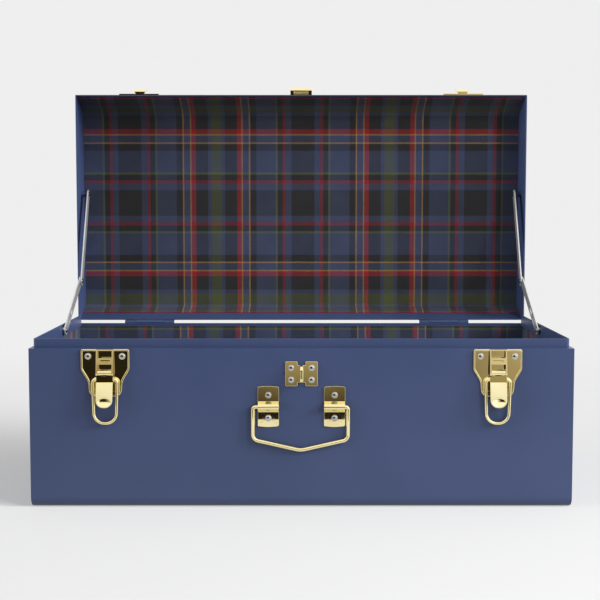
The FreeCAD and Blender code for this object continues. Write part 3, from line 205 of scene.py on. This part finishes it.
def metal(name, look):
    material, tree, shader = newMaterial(name)
    coords = addNode(tree, "ShaderNodeTexCoord").outputs["Object"]
    cloud = spread(tree, noise(tree, coords, metalGrain["cloud"], 5), 0, 1)
    tree.links.new(blend(tree, cloud, look["dark"], look["light"]), shader.inputs["Base Color"])
    haze = noise(tree, coords, metalGrain["haze"], 6)
    tree.links.new(spread(tree, haze, *look["rough"]), shader.inputs["Roughness"])
    lines = noise(tree, coords, metalGrain["lines"], 3, stretch=metalGrain["stretch"])
    bump(tree, shader, lines, look["brush"], metalGrain["lineDepth"])
    shader.inputs["Metallic"].default_value = look["metallic"]
    return material


# tartan: bands from one mirror line to the next, ends as a share of the half repeat
sett = {
    "warpHalf": 0.1189, "weftHalf": 0.1326, "warpMiddle": 0.0025, "lidMiddle": 0.337, "thread": 0.00036,
    "charcoal": linear(35, 35, 36), "blue": linear(53, 59, 80), "red": linear(122, 31, 35),
    "maroon": linear(103, 34, 39), "green": linear(66, 71, 45), "amber": linear(136, 103, 62),
    "olive": linear(74, 82, 58),
}
settBands = [
    (11.5, "charcoal"), (17.1, "blue"), (20, "maroon"), (25.3, "charcoal"), (27.2, "olive"), (46.5, "blue"),
    (52.7, "charcoal"), (53.9, "amber"), (60.1, "blue"), (61.4, "amber"), (66, "red"), (78, "charcoal"),
    (81.5, "blue"), (86.65, "green"),
]


def yarnStripes(tree, along, middle, half):
    shifted = math2(tree, "SUBTRACT", along, middle)
    folded = math2(tree, "PINGPONG", shifted, half)
    share = math2(tree, "DIVIDE", folded, half)
    ramp = addNode(tree, "ShaderNodeValToRGB")
    ramp.color_ramp.interpolation = "CONSTANT"
    stops = ramp.color_ramp.elements
    start = 0.0
    for number, (end, yarn) in enumerate(settBands):
        stop = stops[0] if number == 0 else stops.new(start)
        stop.position = start
        stop.color = sett[yarn]
        start = end / settBands[-1][0]
    stops.remove(stops[-1])
    tree.links.new(share, ramp.inputs["Fac"])
    return ramp.outputs["Color"]


clothLook = {
    "fleck": 1500, "fleckStretch": (1, 0.4, 1), "fleckShade": (0.78, 1.2), "cloud": 30, "cloudShade": (0.92, 1.08),
    "relief": 0.3, "reliefDepth": 0.00012, "rough": 0.85, "sheen": 0.04, "gloss": 0.25,
}


def threadRound(tree, count):  # height across each thread
    wave = math2(tree, "SINE", math2(tree, "MULTIPLY", count, math.pi), 0)
    return math2(tree, "ABSOLUTE", wave, 0)


def tartanCloth():
    material, tree, shader = newMaterial("tartanCloth")
    uv = addNode(tree, "ShaderNodeUVMap", uv_map="cloth").outputs["UV"]
    split = axes(tree, uv)
    across, along = split["X"], split["Y"]
    warp = yarnStripes(tree, across, sett["warpMiddle"], sett["warpHalf"])
    weft = yarnStripes(tree, along, 0.0, sett["weftHalf"])
    warpCount = math2(tree, "DIVIDE", across, sett["thread"])
    weftCount = math2(tree, "DIVIDE", along, sett["thread"])
    step = math2(tree, "ADD", math2(tree, "FLOOR", warpCount, 0), math2(tree, "FLOOR", weftCount, 0))
    over = math2(tree, "LESS_THAN", math2(tree, "FLOORED_MODULO", step, 4), 2)  # two over, two under
    fleck = noise(tree, uv, clothLook["fleck"], 2, stretch=clothLook["fleckStretch"])
    cloud = noise(tree, uv, clothLook["cloud"], 3)
    shade = math2(tree, "MULTIPLY", spread(tree, fleck, *clothLook["fleckShade"]),
                  spread(tree, cloud, *clothLook["cloudShade"]))
    scaled = addNode(tree, "ShaderNodeVectorMath", operation="SCALE")
    tree.links.new(blend(tree, over, weft, warp), scaled.inputs[0])
    tree.links.new(shade, scaled.inputs["Scale"])
    tree.links.new(scaled.outputs["Vector"], shader.inputs["Base Color"])
    height = blend(tree, over, threadRound(tree, weftCount), threadRound(tree, warpCount), kind="FLOAT")
    bump(tree, shader, height, clothLook["relief"], clothLook["reliefDepth"])
    shader.inputs["Roughness"].default_value = clothLook["rough"]
    shader.inputs["Sheen Weight"].default_value = clothLook["sheen"]
    shader.inputs["Specular IOR Level"].default_value = clothLook["gloss"]
    return material


paint = navyPaint()
brass = metal("polishedBrass", brassLook)
steel = metal("brightSteel", steelLook)
stayMetal = metal("satinSteel", stayLook)
cloth = tartanCloth()
print("materials made")


def freeze(obj):  # modifiers into the mesh
    graph = bpy.context.evaluated_depsgraph_get()
    mesh = bpy.data.meshes.new_from_object(obj.evaluated_get(graph))
    obj.modifiers.clear()
    old = obj.data
    obj.data = mesh
    bpy.data.meshes.remove(old)


def finishPiece(obj, body, material, *replaced):
    obj.data.materials.clear()
    obj.data.materials.append(material)
    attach(obj, body)
    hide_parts(*replaced)


bodyOf = {node: body for body, members in frame["record"]["behaviour"]["bodies"].items() for node in members}


def plainName(node):  # tub_end_left to tubEndLeft, and staple to padlockStaple
    first, *rest = node.split("_") if "_" in node else ("padlock", node)
    return first + "".join(word.capitalize() for word in rest)


flatRule = {  # angles, and how much larger a flat face is than what it meets
    "plane": math.radians(0.5), "smooth": math.radians(32), "near": math.radians(25), "broad": 3, "tiny": 12,
}


def apart(one, other):  # angle between two faces, large where a face has no area
    return one.normal.angle(other.normal, math.pi)


def flatSheets(faces):  # groups of faces that lie in one plane and touch
    groups = {}
    for first in faces:
        if first in groups:
            continue
        group = [first]
        groups[first] = group
        for face in group:
            for edge in face.edges:
                for other in edge.link_faces:
                    if other not in groups and apart(other, first) < flatRule["plane"]:
                        groups[other] = group
                        group.append(other)
    return groups


def flatten(mesh):  # a broad flat face keeps one normal, also where it runs on into a bend
    work = bmesh.new()
    work.from_mesh(mesh)
    normals = [tuple(corner.vector) for corner in mesh.corner_normals]
    for number, loop in enumerate(loop for face in work.faces for loop in face.loops):
        loop.index = number
    groups = flatSheets(work.faces)
    areas = {id(group): sum(face.calc_area() for face in group) for group in groups.values()}
    for face, group in groups.items():
        area = areas[id(group)]
        beside = [areas[id(groups[other])] for edge in face.edges for other in edge.link_faces
                  if groups[other] is not group and apart(other, face) < flatRule["smooth"]]
        if area < flatRule["broad"] * max(beside, default=0):
            continue
        for corner in face.verts:
            for loop in corner.link_loops:
                near = groups[loop.face]
                small = areas[id(near)] < area / flatRule["tiny"] and apart(loop.face, face) < flatRule["near"]
                if near is group or small:
                    normals[loop.index] = tuple(group[0].normal)
    work.free()
    mesh.normals_split_custom_set(normals)


scoop = {
    "tilt": math.radians(12), "up": 0.0062, "wide": 0.0074, "tall": 0.0054, "deep": 0.0012,
    "level": 0.999, "segments": 48, "rings": 32,  # level: how closely a face has to follow the tilt
}


def addScoop(mesh):  # thumb hollow near the end of a lever's tongue
    out = Vector((0, -math.cos(scoop["tilt"]), math.sin(scoop["tilt"])))
    along = Vector((0, math.sin(scoop["tilt"]), math.cos(scoop["tilt"])))
    tongue = max(mesh.polygons, key=lambda part: part.area if part.normal.dot(out) > scoop["level"] else 0)
    corners = [mesh.vertices[n].co for n in tongue.vertices]
    lowest = min(corners, key=lambda corner: corner.z)
    spot = Vector(((min(c.x for c in corners) + max(c.x for c in corners)) / 2, lowest.y, lowest.z))
    spot += along * scoop["up"]
    work = bmesh.new()
    bmesh.ops.create_uvsphere(work, u_segments=scoop["segments"], v_segments=scoop["rings"], radius=1)
    for vert in work.verts:
        x, y, z = vert.co
        vert.co = spot + Vector((x * scoop["wide"], 0, 0)) + along * (y * scoop["tall"]) + out * (z * scoop["deep"])
    bmesh.ops.recalc_face_normals(work, faces=work.faces)
    cutter = bpy.data.meshes.new("scoop")
    work.to_mesh(cutter)
    work.free()
    obj = bpy.data.objects.new("scoop", cutter)
    scene.collection.objects.link(obj)
    return obj


easing = {
    "merge": 2e-6, "join": math.radians(0.5), "segments": 2, "sharp": math.radians(32),
    "crease": math.radians(32), "leverCrease": math.radians(10),
}


def tidyFaces(mesh, joined):
    work = bmesh.new()
    work.from_mesh(mesh)
    bmesh.ops.remove_doubles(work, verts=work.verts, dist=easing["merge"])
    if joined:
        bmesh.ops.dissolve_limit(work, angle_limit=easing["join"], verts=work.verts, edges=work.edges)
    work.to_mesh(mesh)
    work.free()


def pressScoop(obj):
    cutter = addScoop(obj.data)
    press = obj.modifiers.new("press", "BOOLEAN")
    press.object = cutter
    press.solver = "EXACT"
    freeze(obj)
    bpy.data.meshes.remove(cutter.data)
    tidyFaces(obj.data, joined=True)


def smoothFaces(mesh, crease):
    mesh.polygons.foreach_set("use_smooth", [True] * len(mesh.polygons))
    mesh.set_sharp_from_angle(angle=crease)


def softEdged(node, material, width):  # a node's form with its hard edges eased
    obj = bpy.data.objects.new(plainName(node), cad[node].data.copy())
    scene.collection.objects.link(obj)
    lever = node.endswith("lever")
    tidyFaces(obj.data, joined=lever or node == "staple")
    if lever:
        pressScoop(obj)
    smoothFaces(obj.data, easing["leverCrease" if lever else "crease"])
    ease = obj.modifiers.new("ease", "BEVEL")
    ease.width = width
    ease.segments = easing["segments"]
    ease.limit_method = "ANGLE"
    ease.angle_limit = easing["sharp"]
    ease.harden_normals = True
    ease.use_clamp_overlap = not node.startswith(("staple", "handle"))  # these get their full width
    flat = obj.modifiers.new("flat", "WEIGHTED_NORMAL")
    flat.keep_sharp = True
    freeze(obj)
    flatten(obj.data)
    finishPiece(obj, bodyOf[node], material, node)


# painted sheet
sheetEdges = {
    "tub_wrap": 0.0004, "tub_end_left": 0.0003, "tub_end_right": 0.0003, "tub_lip": 0.0004,
    "lid_wrap": 0.0004, "lid_end_left": 0.0003, "lid_end_right": 0.0003,
    "hinge_left_tub_leaf": 0.0003, "hinge_right_tub_leaf": 0.0003,
    "hinge_left_lid_leaf": 0.0003, "hinge_right_lid_leaf": 0.0003,
    "stay_left_lid_boss": 0.0003, "stay_right_lid_boss": 0.0003,
}
for node, width in sheetEdges.items():
    softEdged(node, paint, width)
print("painted sheet done")

# brass hardware
brassEdges = {
    "latch_left_plate": 0.0003, "latch_right_plate": 0.0003, "latch_left_lever": 0.0004, "latch_right_lever": 0.0004,
    "catch_left": 0.0005, "catch_right": 0.0005, "staple": 0.0005, "hasp_leaf": 0.0004, "hasp_flap": 0.0005,
    "handle_left_bracket": 0.0004, "handle_right_bracket": 0.0004,
}
for node, width in brassEdges.items():
    softEdged(node, brass, width)
print("brass done")

# steel pins and stays
steelEdge = {"width": 0.0002}
stayParts = ("foot_stud", "lower_link", "elbow_rivet", "upper_link", "top_rivet")
steelNodes = ["hasp_pin"]
for side in ("left", "right"):
    steelNodes += [f"latch_{side}_pin", f"hinge_{side}_pin"]
    steelNodes += [f"stay_{side}_{part}" for part in stayParts]
for node in steelNodes:
    softEdged(node, stayMetal if "link" in node else steel, steelEdge["width"])
print("steel done")


# node trees for what repeats or follows a path
def addTree(name, inputs):
    tree = bpy.data.node_groups.new(name, "GeometryNodeTree")
    tree.interface.new_socket(name="Geometry", in_out="INPUT", socket_type="NodeSocketGeometry")
    for label, kind in inputs:
        tree.interface.new_socket(name=label, in_out="INPUT", socket_type=kind)
    tree.interface.new_socket(name="Geometry", in_out="OUTPUT", socket_type="NodeSocketGeometry")
    return tree, tree.nodes.new("NodeGroupInput"), tree.nodes.new("NodeGroupOutput")


def runTree(obj, tree, values):
    modifier = obj.modifiers.new(tree.name, "NODES")
    modifier.node_group = tree
    for item in tree.interface.items_tree:
        if item.item_type == "SOCKET" and item.in_out == "INPUT" and item.name in values:
            modifier[item.identifier] = values[item.name]
    freeze(obj)


def closeTree(tree, start, end, shape):  # smooth, plain geometry with its material
    last = shape
    for kind in ("GeometryNodeRealizeInstances", "GeometryNodeSetShadeSmooth", "GeometryNodeSetMaterial"):
        node = addNode(tree, kind)
        tree.links.new(last, node.inputs["Geometry"])
        last = node.outputs["Geometry"]
    tree.links.new(start.outputs["Finish"], node.inputs["Material"])
    tree.links.new(last, end.inputs["Geometry"])
    return tree


rivetForm = {"segments": 36, "rings": 22, "crown": 0.55, "crease": math.radians(50)}


def rivetTree():
    tree, start, end = addTree("rivetHeads", [("Head radius", "NodeSocketFloat"), ("Head height", "NodeSocketFloat"),
                                              ("Finish", "NodeSocketMaterial")])
    link = tree.links.new
    ball = addNode(tree, "GeometryNodeMeshUVSphere",
                   {"Segments": rivetForm["segments"], "Rings": rivetForm["rings"], "Radius": 1.0})
    split = axes(tree, addNode(tree, "GeometryNodeInputPosition").outputs["Position"])
    crown = math2(tree, "POWER", math2(tree, "MAXIMUM", split["Z"], 0), rivetForm["crown"])
    spot = addNode(tree, "ShaderNodeCombineXYZ")
    link(split["X"], spot.inputs["X"])
    link(split["Y"], spot.inputs["Y"])
    link(crown, spot.inputs["Z"])
    shaped = addNode(tree, "GeometryNodeSetPosition")
    link(ball.outputs["Mesh"], shaped.inputs["Geometry"])  # the lower half becomes a flat underside
    link(spot.outputs["Vector"], shaped.inputs["Position"])
    size = addNode(tree, "ShaderNodeCombineXYZ")
    link(start.outputs["Head radius"], size.inputs["X"])
    link(start.outputs["Head radius"], size.inputs["Y"])
    link(start.outputs["Head height"], size.inputs["Z"])
    facing = addNode(tree, "GeometryNodeInputNamedAttribute", {"Name": "facing"}, data_type="FLOAT_VECTOR")
    turn = addNode(tree, "FunctionNodeAlignRotationToVector", axis="Z")
    link(facing.outputs["Attribute"], turn.inputs["Vector"])
    spots = addNode(tree, "GeometryNodeInstanceOnPoints")
    link(start.outputs["Geometry"], spots.inputs["Points"])
    link(shaped.outputs["Geometry"], spots.inputs["Instance"])
    link(turn.outputs["Rotation"], spots.inputs["Rotation"])
    link(size.outputs["Vector"], spots.inputs["Scale"])
    return closeTree(tree, start, end, spots.outputs["Instances"])


rivetHeads = rivetTree()
rivetSize = {"Head radius": 0.0036, "Head height": 0.0022, "Finish": steel}
rivetRows = {
    "latch_rivets": {"x": latchX.values(), "spread": 0.01875, "z": (0.1687,), "plate": 0.0012},
    "staple_rivets": {"x": (0,), "spread": 0.0112, "z": (0.1427, 0.1559), "plate": 0.0016},
    "handle_rivets": {"x": (0,), "spread": 0.0365, "z": (0.1002, 0.1258), "plate": 0.0016},
    "catch_rivets": {"x": latchX.values(), "spread": 0.018, "along": 0.013, "plate": 0.0016},
    "hasp_rivets": {"x": (0,), "spread": 0.008, "along": 0.015, "plate": 0.0014},
}


def slopeSpot(x, along, off):  # on the open lid's leaning front wall
    lean = lidShape["frontLean"]
    back = lidShape["straight"] + along * math.cos(lean) + off * math.sin(lean)
    inward = along * math.sin(lean) - off * math.cos(lean)
    return (x, hingeY + back, hingeZ + trunk["depth"] - inward)


def rivets(node, row):
    xs = [x + side * row["spread"] for x in row["x"] for side in (-1, 1)]
    if "along" in row:
        spots = [slopeSpot(x, row["along"], row["plate"]) for x in xs]
        facing = (0, math.sin(lidShape["frontLean"]), math.cos(lidShape["frontLean"]))
    else:
        spots = [(x, frontY - row["plate"], z) for x in xs for z in row["z"]]
        facing = (0, -1, 0)
    obj = addMesh(plainName(node), spots)
    aim = obj.data.attributes.new("facing", "FLOAT_VECTOR", "POINT")
    for item in aim.data:
        item.vector = facing
    runTree(obj, rivetHeads, rivetSize)
    obj.data.set_sharp_from_angle(angle=rivetForm["crease"])
    finishPiece(obj, bodyOf[node], steel, node)


for node, row in rivetRows.items():
    rivets(node, row)
print("rivets done")


wireForm = {"bendSteps": 14, "sides": 28, "crease": math.radians(50)}


def wireTree():
    tree, start, end = addTree("bentWire", [("Wire radius", "NodeSocketFloat"), ("Finish", "NodeSocketMaterial")])
    link = tree.links.new
    path = addNode(tree, "GeometryNodeMeshToCurve")
    link(start.outputs["Geometry"], path.inputs["Mesh"])
    bend = addNode(tree, "GeometryNodeInputNamedAttribute", {"Name": "bend"}, data_type="FLOAT")
    soft = addNode(tree, "GeometryNodeFilletCurve", {"Count": wireForm["bendSteps"], "Limit Radius": True}, mode="POLY")
    link(path.outputs["Curve"], soft.inputs["Curve"])
    link(bend.outputs["Attribute"], soft.inputs["Radius"])
    ring = addNode(tree, "GeometryNodeCurvePrimitiveCircle", {"Resolution": wireForm["sides"]})
    link(start.outputs["Wire radius"], ring.inputs["Radius"])
    tube = addNode(tree, "GeometryNodeCurveToMesh", {"Fill Caps": True})
    link(soft.outputs["Curve"], tube.inputs["Curve"])
    link(ring.outputs["Curve"], tube.inputs["Profile Curve"])
    return closeTree(tree, start, end, tube.outputs["Mesh"])


bentWire = wireTree()
# half widths, drops below z, and the bends' radii
loopWire = {
    "radius": 0.0019, "y": -0.155, "z": 0.1434, "end": 0.0072, "top": 0.0136, "bottom": 0.012, "length": 0.0483,
    "shoulder": 0.0036, "base": 0.0112,
}
bailWire = {
    "radius": 0.0023, "y": -0.1534, "z": 0.113, "end": 0.027, "side": 0.0524, "slip": -0.001, "corner": 0.0364,
    "drop": 0.0483, "top": 0.0029, "low": 0.007, "middle": 0.022,
}


def bendWire(node, points, bends, radius):
    obj = addMesh(plainName(node), points, edges=[(n, n + 1) for n in range(len(points) - 1)])
    layer = obj.data.attributes.new("bend", "FLOAT", "POINT")
    for item, value in zip(layer.data, [0] + bends + [0]):
        item.value = value
    runTree(obj, bentWire, {"Wire radius": radius, "Finish": brass})
    obj.data.set_sharp_from_angle(angle=wireForm["crease"])
    finishPiece(obj, bodyOf[node], brass, node)


for side, middle in latchX.items():
    wire = loopWire
    half = [(-wire["end"], 0), (-wire["top"], 0), (-wire["bottom"], -wire["length"])]
    points = [(middle + x, wire["y"], wire["z"] + z) for x, z in half + [(-x, z) for x, z in reversed(half)]]
    bends = [wire["shoulder"], wire["base"], wire["base"], wire["shoulder"]]
    bendWire(f"latch_{side}_loop", points, bends, wire["radius"])

wire = bailWire
half = [(-wire["end"], 0), (-wire["side"], 0), (-wire["side"], -wire["corner"])]
points = [(wire["slip"] + x, wire["y"], wire["z"] + z)
          for x, z in half + [(0, -wire["drop"])] + [(-x, z) for x, z in reversed(half)]]
bends = [wire["top"], wire["low"], wire["middle"], wire["low"], wire["top"]]
bendWire("handle_bail", points, bends, wire["radius"])
print("wire done")


# linings: cloth on board, with the cloth's own flat coordinates
board = {"columns": 60, "bendSteps": 10, "crease": math.radians(40)}


def arcCorner(before, corner, after, radius):
    into = (Vector(corner) - Vector(before)).normalized()
    out = (Vector(after) - Vector(corner)).normalized()
    half = into.angle(out) / 2
    reach = radius * math.tan(half)
    first = Vector(corner) - into * reach
    last = Vector(corner) + out * reach
    inward = (out - into).normalized()
    centre = Vector(corner) + inward * (radius / math.cos(half))
    steps = board["bendSteps"]
    spokes = [(first.lerp(last, step / steps) - centre).normalized() for step in range(steps + 1)]
    return [tuple(centre + spoke * radius) for spoke in spokes]


def rounded(corners, firstRadius, lastRadius):  # four corners, with the middle two made arcs
    return ([corners[0]] + arcCorner(*corners[0:3], firstRadius)
            + arcCorner(*corners[1:4], lastRadius) + [corners[3]])


def boardStrip(name, outer, inner, left, right, start):  # profiles are (y, z) rows of equal length
    columns = board["columns"]
    lengths = [start]
    for a, b in zip(inner, inner[1:]):
        lengths.append(lengths[-1] + math.dist(a, b))
    verts = []
    flat = []
    for profile in (inner, outer):
        for (y, z), along in zip(profile, lengths):
            for column in range(columns + 1):
                x = left + (right - left) * column / columns
                verts.append((x, y, z))
                flat.append((x, along))
    row = columns + 1
    layer = len(inner) * row
    faces = []
    for r in range(len(inner) - 1):
        for c in range(columns):
            a = r * row + c
            faces.append((a, a + 1, a + row + 1, a + row))
            faces.append((layer + a, layer + a + row, layer + a + row + 1, layer + a + 1))
    last = (len(inner) - 1) * row
    for c in range(columns):
        faces.append((c, layer + c, layer + c + 1, c + 1))
        faces.append((last + c, last + c + 1, layer + last + c + 1, layer + last + c))
    for r in range(len(inner) - 1):
        a = r * row
        faces.append((a, a + row, layer + a + row, layer + a))
        b = a + columns
        faces.append((b, layer + b, layer + b + row, b + row))
    return clothMesh(name, verts, faces, flat)


def clothMesh(name, verts, faces, flat):
    obj = addMesh(name, verts, faces)
    uv = obj.data.uv_layers.new(name="cloth")
    for loop in obj.data.loops:
        uv.data[loop.index].uv = flat[loop.vertex_index]
    work = bmesh.new()
    work.from_mesh(obj.data)
    bmesh.ops.recalc_face_normals(work, faces=work.faces)
    work.to_mesh(obj.data)
    work.free()
    smoothFaces(obj.data, board["crease"])
    return obj


def lidPoint(side, rise, depth):  # open lid: (y, z) on its leaning wall
    lean = lidShape[side + "Lean"]
    climb = rise - lidShape["straight"] + depth * math.tan(lean / 2)
    inward = depth + climb * math.tan(lean)
    z = hingeZ + trunk["depth"] - inward if side == "front" else hingeZ + inward
    return (hingeY + rise, z)


def lidProfile(depth):
    s = lidShape
    top = s["height"] - depth
    corners = [lidPoint("front", s["liningStart"], depth), lidPoint("front", top, depth),
               lidPoint("back", top, depth), lidPoint("back", s["liningEnd"], depth)]
    return rounded(corners, s["frontRound"] - depth, s["backRound"] - depth)


def flatStart(profile, level):  # flat coordinate of the first point, so that the given height reads zero
    total = 0
    for a, b in zip(profile, profile[1:]):
        if b[1] <= level <= a[1] and a[1] > b[1]:
            return -(total + math.dist(a, b) * (a[1] - level) / (a[1] - b[1]))
        total += math.dist(a, b)
    return 0


skin = trunk["wall"] + trunk["liningGap"]
face = skin + trunk["liningThick"]
boardEnd = trunk["width"] / 2 - skin
inner = lidProfile(face)
lidStart = flatStart(inner, sett["lidMiddle"])
lidLining = boardStrip("lidLining", lidProfile(skin), inner, -boardEnd, boardEnd, lidStart)
finishPiece(lidLining, "lid", cloth, "lid_lining")

# wrapStart and endMiddle place the pattern on the tub's cloth
tubShape = {"bend": 0.011, "frontTop": 0.1722, "backTop": 0.172, "wrapStart": 0.134, "endMiddle": 0.101}


def tubProfile(depth, backTop):
    edge = trunk["depth"] / 2 - depth
    corners = [(-edge, tubShape["frontTop"]), (-edge, depth), (edge, depth), (edge, backTop)]
    bend = tubShape["bend"] - depth
    return rounded(corners, bend, bend)


inner = tubProfile(face, tubShape["backTop"])
outer = tubProfile(skin, tubShape["backTop"])
tubLining = boardStrip("tubLining", outer, inner, -boardEnd, boardEnd, tubShape["wrapStart"])
finishPiece(tubLining, "tub", cloth, "tub_lining_wrap")


def endBoard(node, outerX, innerX):
    outline = tubProfile(face + trunk["liningGap"], tubShape["frontTop"])
    verts = [(x, y, z) for x in (outerX, innerX) for y, z in outline]
    flat = [(y, z - tubShape["endMiddle"]) for y, z in outline] * 2
    count = len(outline)
    faces = [tuple(range(count)), tuple(range(count, 2 * count))]
    for n in range(count):
        following = (n + 1) % count
        faces.append((n, following, count + following, count + n))
    finishPiece(clothMesh(plainName(node), verts, faces, flat), "tub", cloth, node)


endBoard("tub_lining_end_left", -boardEnd, -boardEnd + trunk["liningThick"])
endBoard("tub_lining_end_right", boardEnd, boardEnd - trunk["liningThick"])
print("linings done")


# stage: pale floor that fades into the backdrop
floorLook = {
    "shade": 0.36, "glow": 0.295, "rough": 0.9, "gloss": 0.1,
    "wide": 1.3, "front": -0.705, "fadeFrom": 0.1, "fadeTo": 1.2,
}

reach, front, far = floorLook["wide"], floorLook["front"], floorLook["fadeTo"]
floor = addMesh("floor", [(-reach, front, 0), (reach, front, 0), (reach, far, 0), (-reach, far, 0)], [(0, 1, 2, 3)])
floorMaterial, tree, shader = newMaterial("paleFloor")
split = axes(tree, addNode(tree, "ShaderNodeTexCoord").outputs["Object"])
fade = spread(tree, split["Y"], 0, 1, floorLook["fadeFrom"], far)
clear = addNode(tree, "ShaderNodeBsdfTransparent")
faded = mixShaders(tree, fade, shader.outputs[0], clear.outputs[0])
tree.links.new(faded, tree.nodes["Material Output"].inputs["Surface"])
shader.inputs["Base Color"].default_value = (floorLook["shade"],) * 3 + (1,)
shader.inputs["Roughness"].default_value = floorLook["rough"]
shader.inputs["Specular IOR Level"].default_value = floorLook["gloss"]
shader.inputs["Emission Color"].default_value = (1, 1, 1, 1)
shader.inputs["Emission Strength"].default_value = floorLook["glow"]
floor.data.materials.append(floorMaterial)

# studio round the trunk: each row gives two strengths and the directions between which they change
studio = {
    "backdrop": 0.86, "ambient": (0.07, 0.4, -0.3, 0.6),
    "up": (0.02, 1.12, 0.17, 0.27), "behind": (0, 0.8, 0.1, 0.5), "left": (0.7, 0, -0.65, -0.2),
    "right": (0, 1.5, 0.05, 0.3), "rightLift": (0.3, 1, -0.25, 0.1),
    "patch": (0.34, 0, 0.02, 0.075), "patchFoot": (0, 1, -0.17, -0.13), "patchTop": -0.08,
    "dimTint": (1, 0.84, 0.56, 1), "white": (1, 1, 1, 1), "warmBelow": (0, 1, 0.35, 0.9),
}

world = bpy.data.worlds.new("studio")
scene.world = world
world.use_nodes = True
tree = world.node_tree
split = axes(tree, addNode(tree, "ShaderNodeTexCoord").outputs["Generated"])
lift = spread(tree, split["Z"], *studio["rightLift"])
right = math2(tree, "MULTIPLY", spread(tree, split["X"], *studio["right"]), lift)
walls = spread(tree, split["Z"], *studio["up"])
for part in (spread(tree, split["X"], *studio["left"]), right, spread(tree, split["Y"], *studio["behind"])):
    walls = math2(tree, "MAXIMUM", walls, part)
patch = spread(tree, math2(tree, "ABSOLUTE", split["X"], 0), *studio["patch"])  # dim, in front, seen in the staple
for part in (spread(tree, split["Z"], *studio["patchFoot"]), math2(tree, "LESS_THAN", split["Z"], studio["patchTop"]),
             math2(tree, "LESS_THAN", split["Y"], 0)):
    patch = math2(tree, "MULTIPLY", patch, part)
strength = math2(tree, "ADD", walls, patch)
glow = tree.nodes["Background"]
tree.links.new(strength, glow.inputs["Strength"])
warmth = spread(tree, strength, *studio["warmBelow"])
tree.links.new(blend(tree, warmth, studio["dimTint"], studio["white"]), glow.inputs["Color"])
ambient = addNode(tree, "ShaderNodeBackground", {"Color": studio["white"]})
tree.links.new(spread(tree, split["Z"], *studio["ambient"]), ambient.inputs["Strength"])
backdrop = addNode(tree, "ShaderNodeBackground", {"Color": studio["white"], "Strength": studio["backdrop"]})
path = addNode(tree, "ShaderNodeLightPath").outputs
lit = mixShaders(tree, path["Is Glossy Ray"], ambient.outputs[0], glow.outputs[0])  # the metal mirrors the glow
seen = mixShaders(tree, path["Is Camera Ray"], lit, backdrop.outputs[0])
tree.links.new(seen, tree.nodes["World Output"].inputs["Surface"])

lamps = {
    "keyRight": {"at": (1.2, -1.3, 1.0), "to": (0.1, 0, 0.2), "wide": 0.5, "tall": 0.8, "watts": 25},
    "overhead": {"at": (0.3, -0.2, 2.3), "to": (0, 0, 0.1), "wide": 2, "tall": 2, "watts": 3},
}
suns = {
    "keySun": {"from": (0.92, -0.22, 0.42), "soft": 25, "strength": 5.2},
    "fillSun": {"from": (-0.95, -0.2, 0.05), "soft": 40, "strength": 4.2},
}


def aimLight(name, data, at, target):
    obj = bpy.data.objects.new(name, data)
    obj.location = at
    obj.rotation_euler = (Vector(target) - Vector(at)).to_track_quat("-Z", "Y").to_euler()
    obj.visible_camera = False
    obj.visible_glossy = False  # the metal mirrors the studio's glow instead
    scene.collection.objects.link(obj)


for name, lamp in lamps.items():
    data = bpy.data.lights.new(name, "AREA")
    data.shape = "RECTANGLE"
    data.size = lamp["wide"]
    data.size_y = lamp["tall"]
    data.energy = lamp["watts"]
    aimLight(name, data, lamp["at"], lamp["to"])
for name, sun in suns.items():
    data = bpy.data.lights.new(name, "SUN")
    data.energy = sun["strength"]
    data.angle = math.radians(sun["soft"])
    aimLight(name, data, sun["from"], (0, 0, 0))
print("stage and light set")
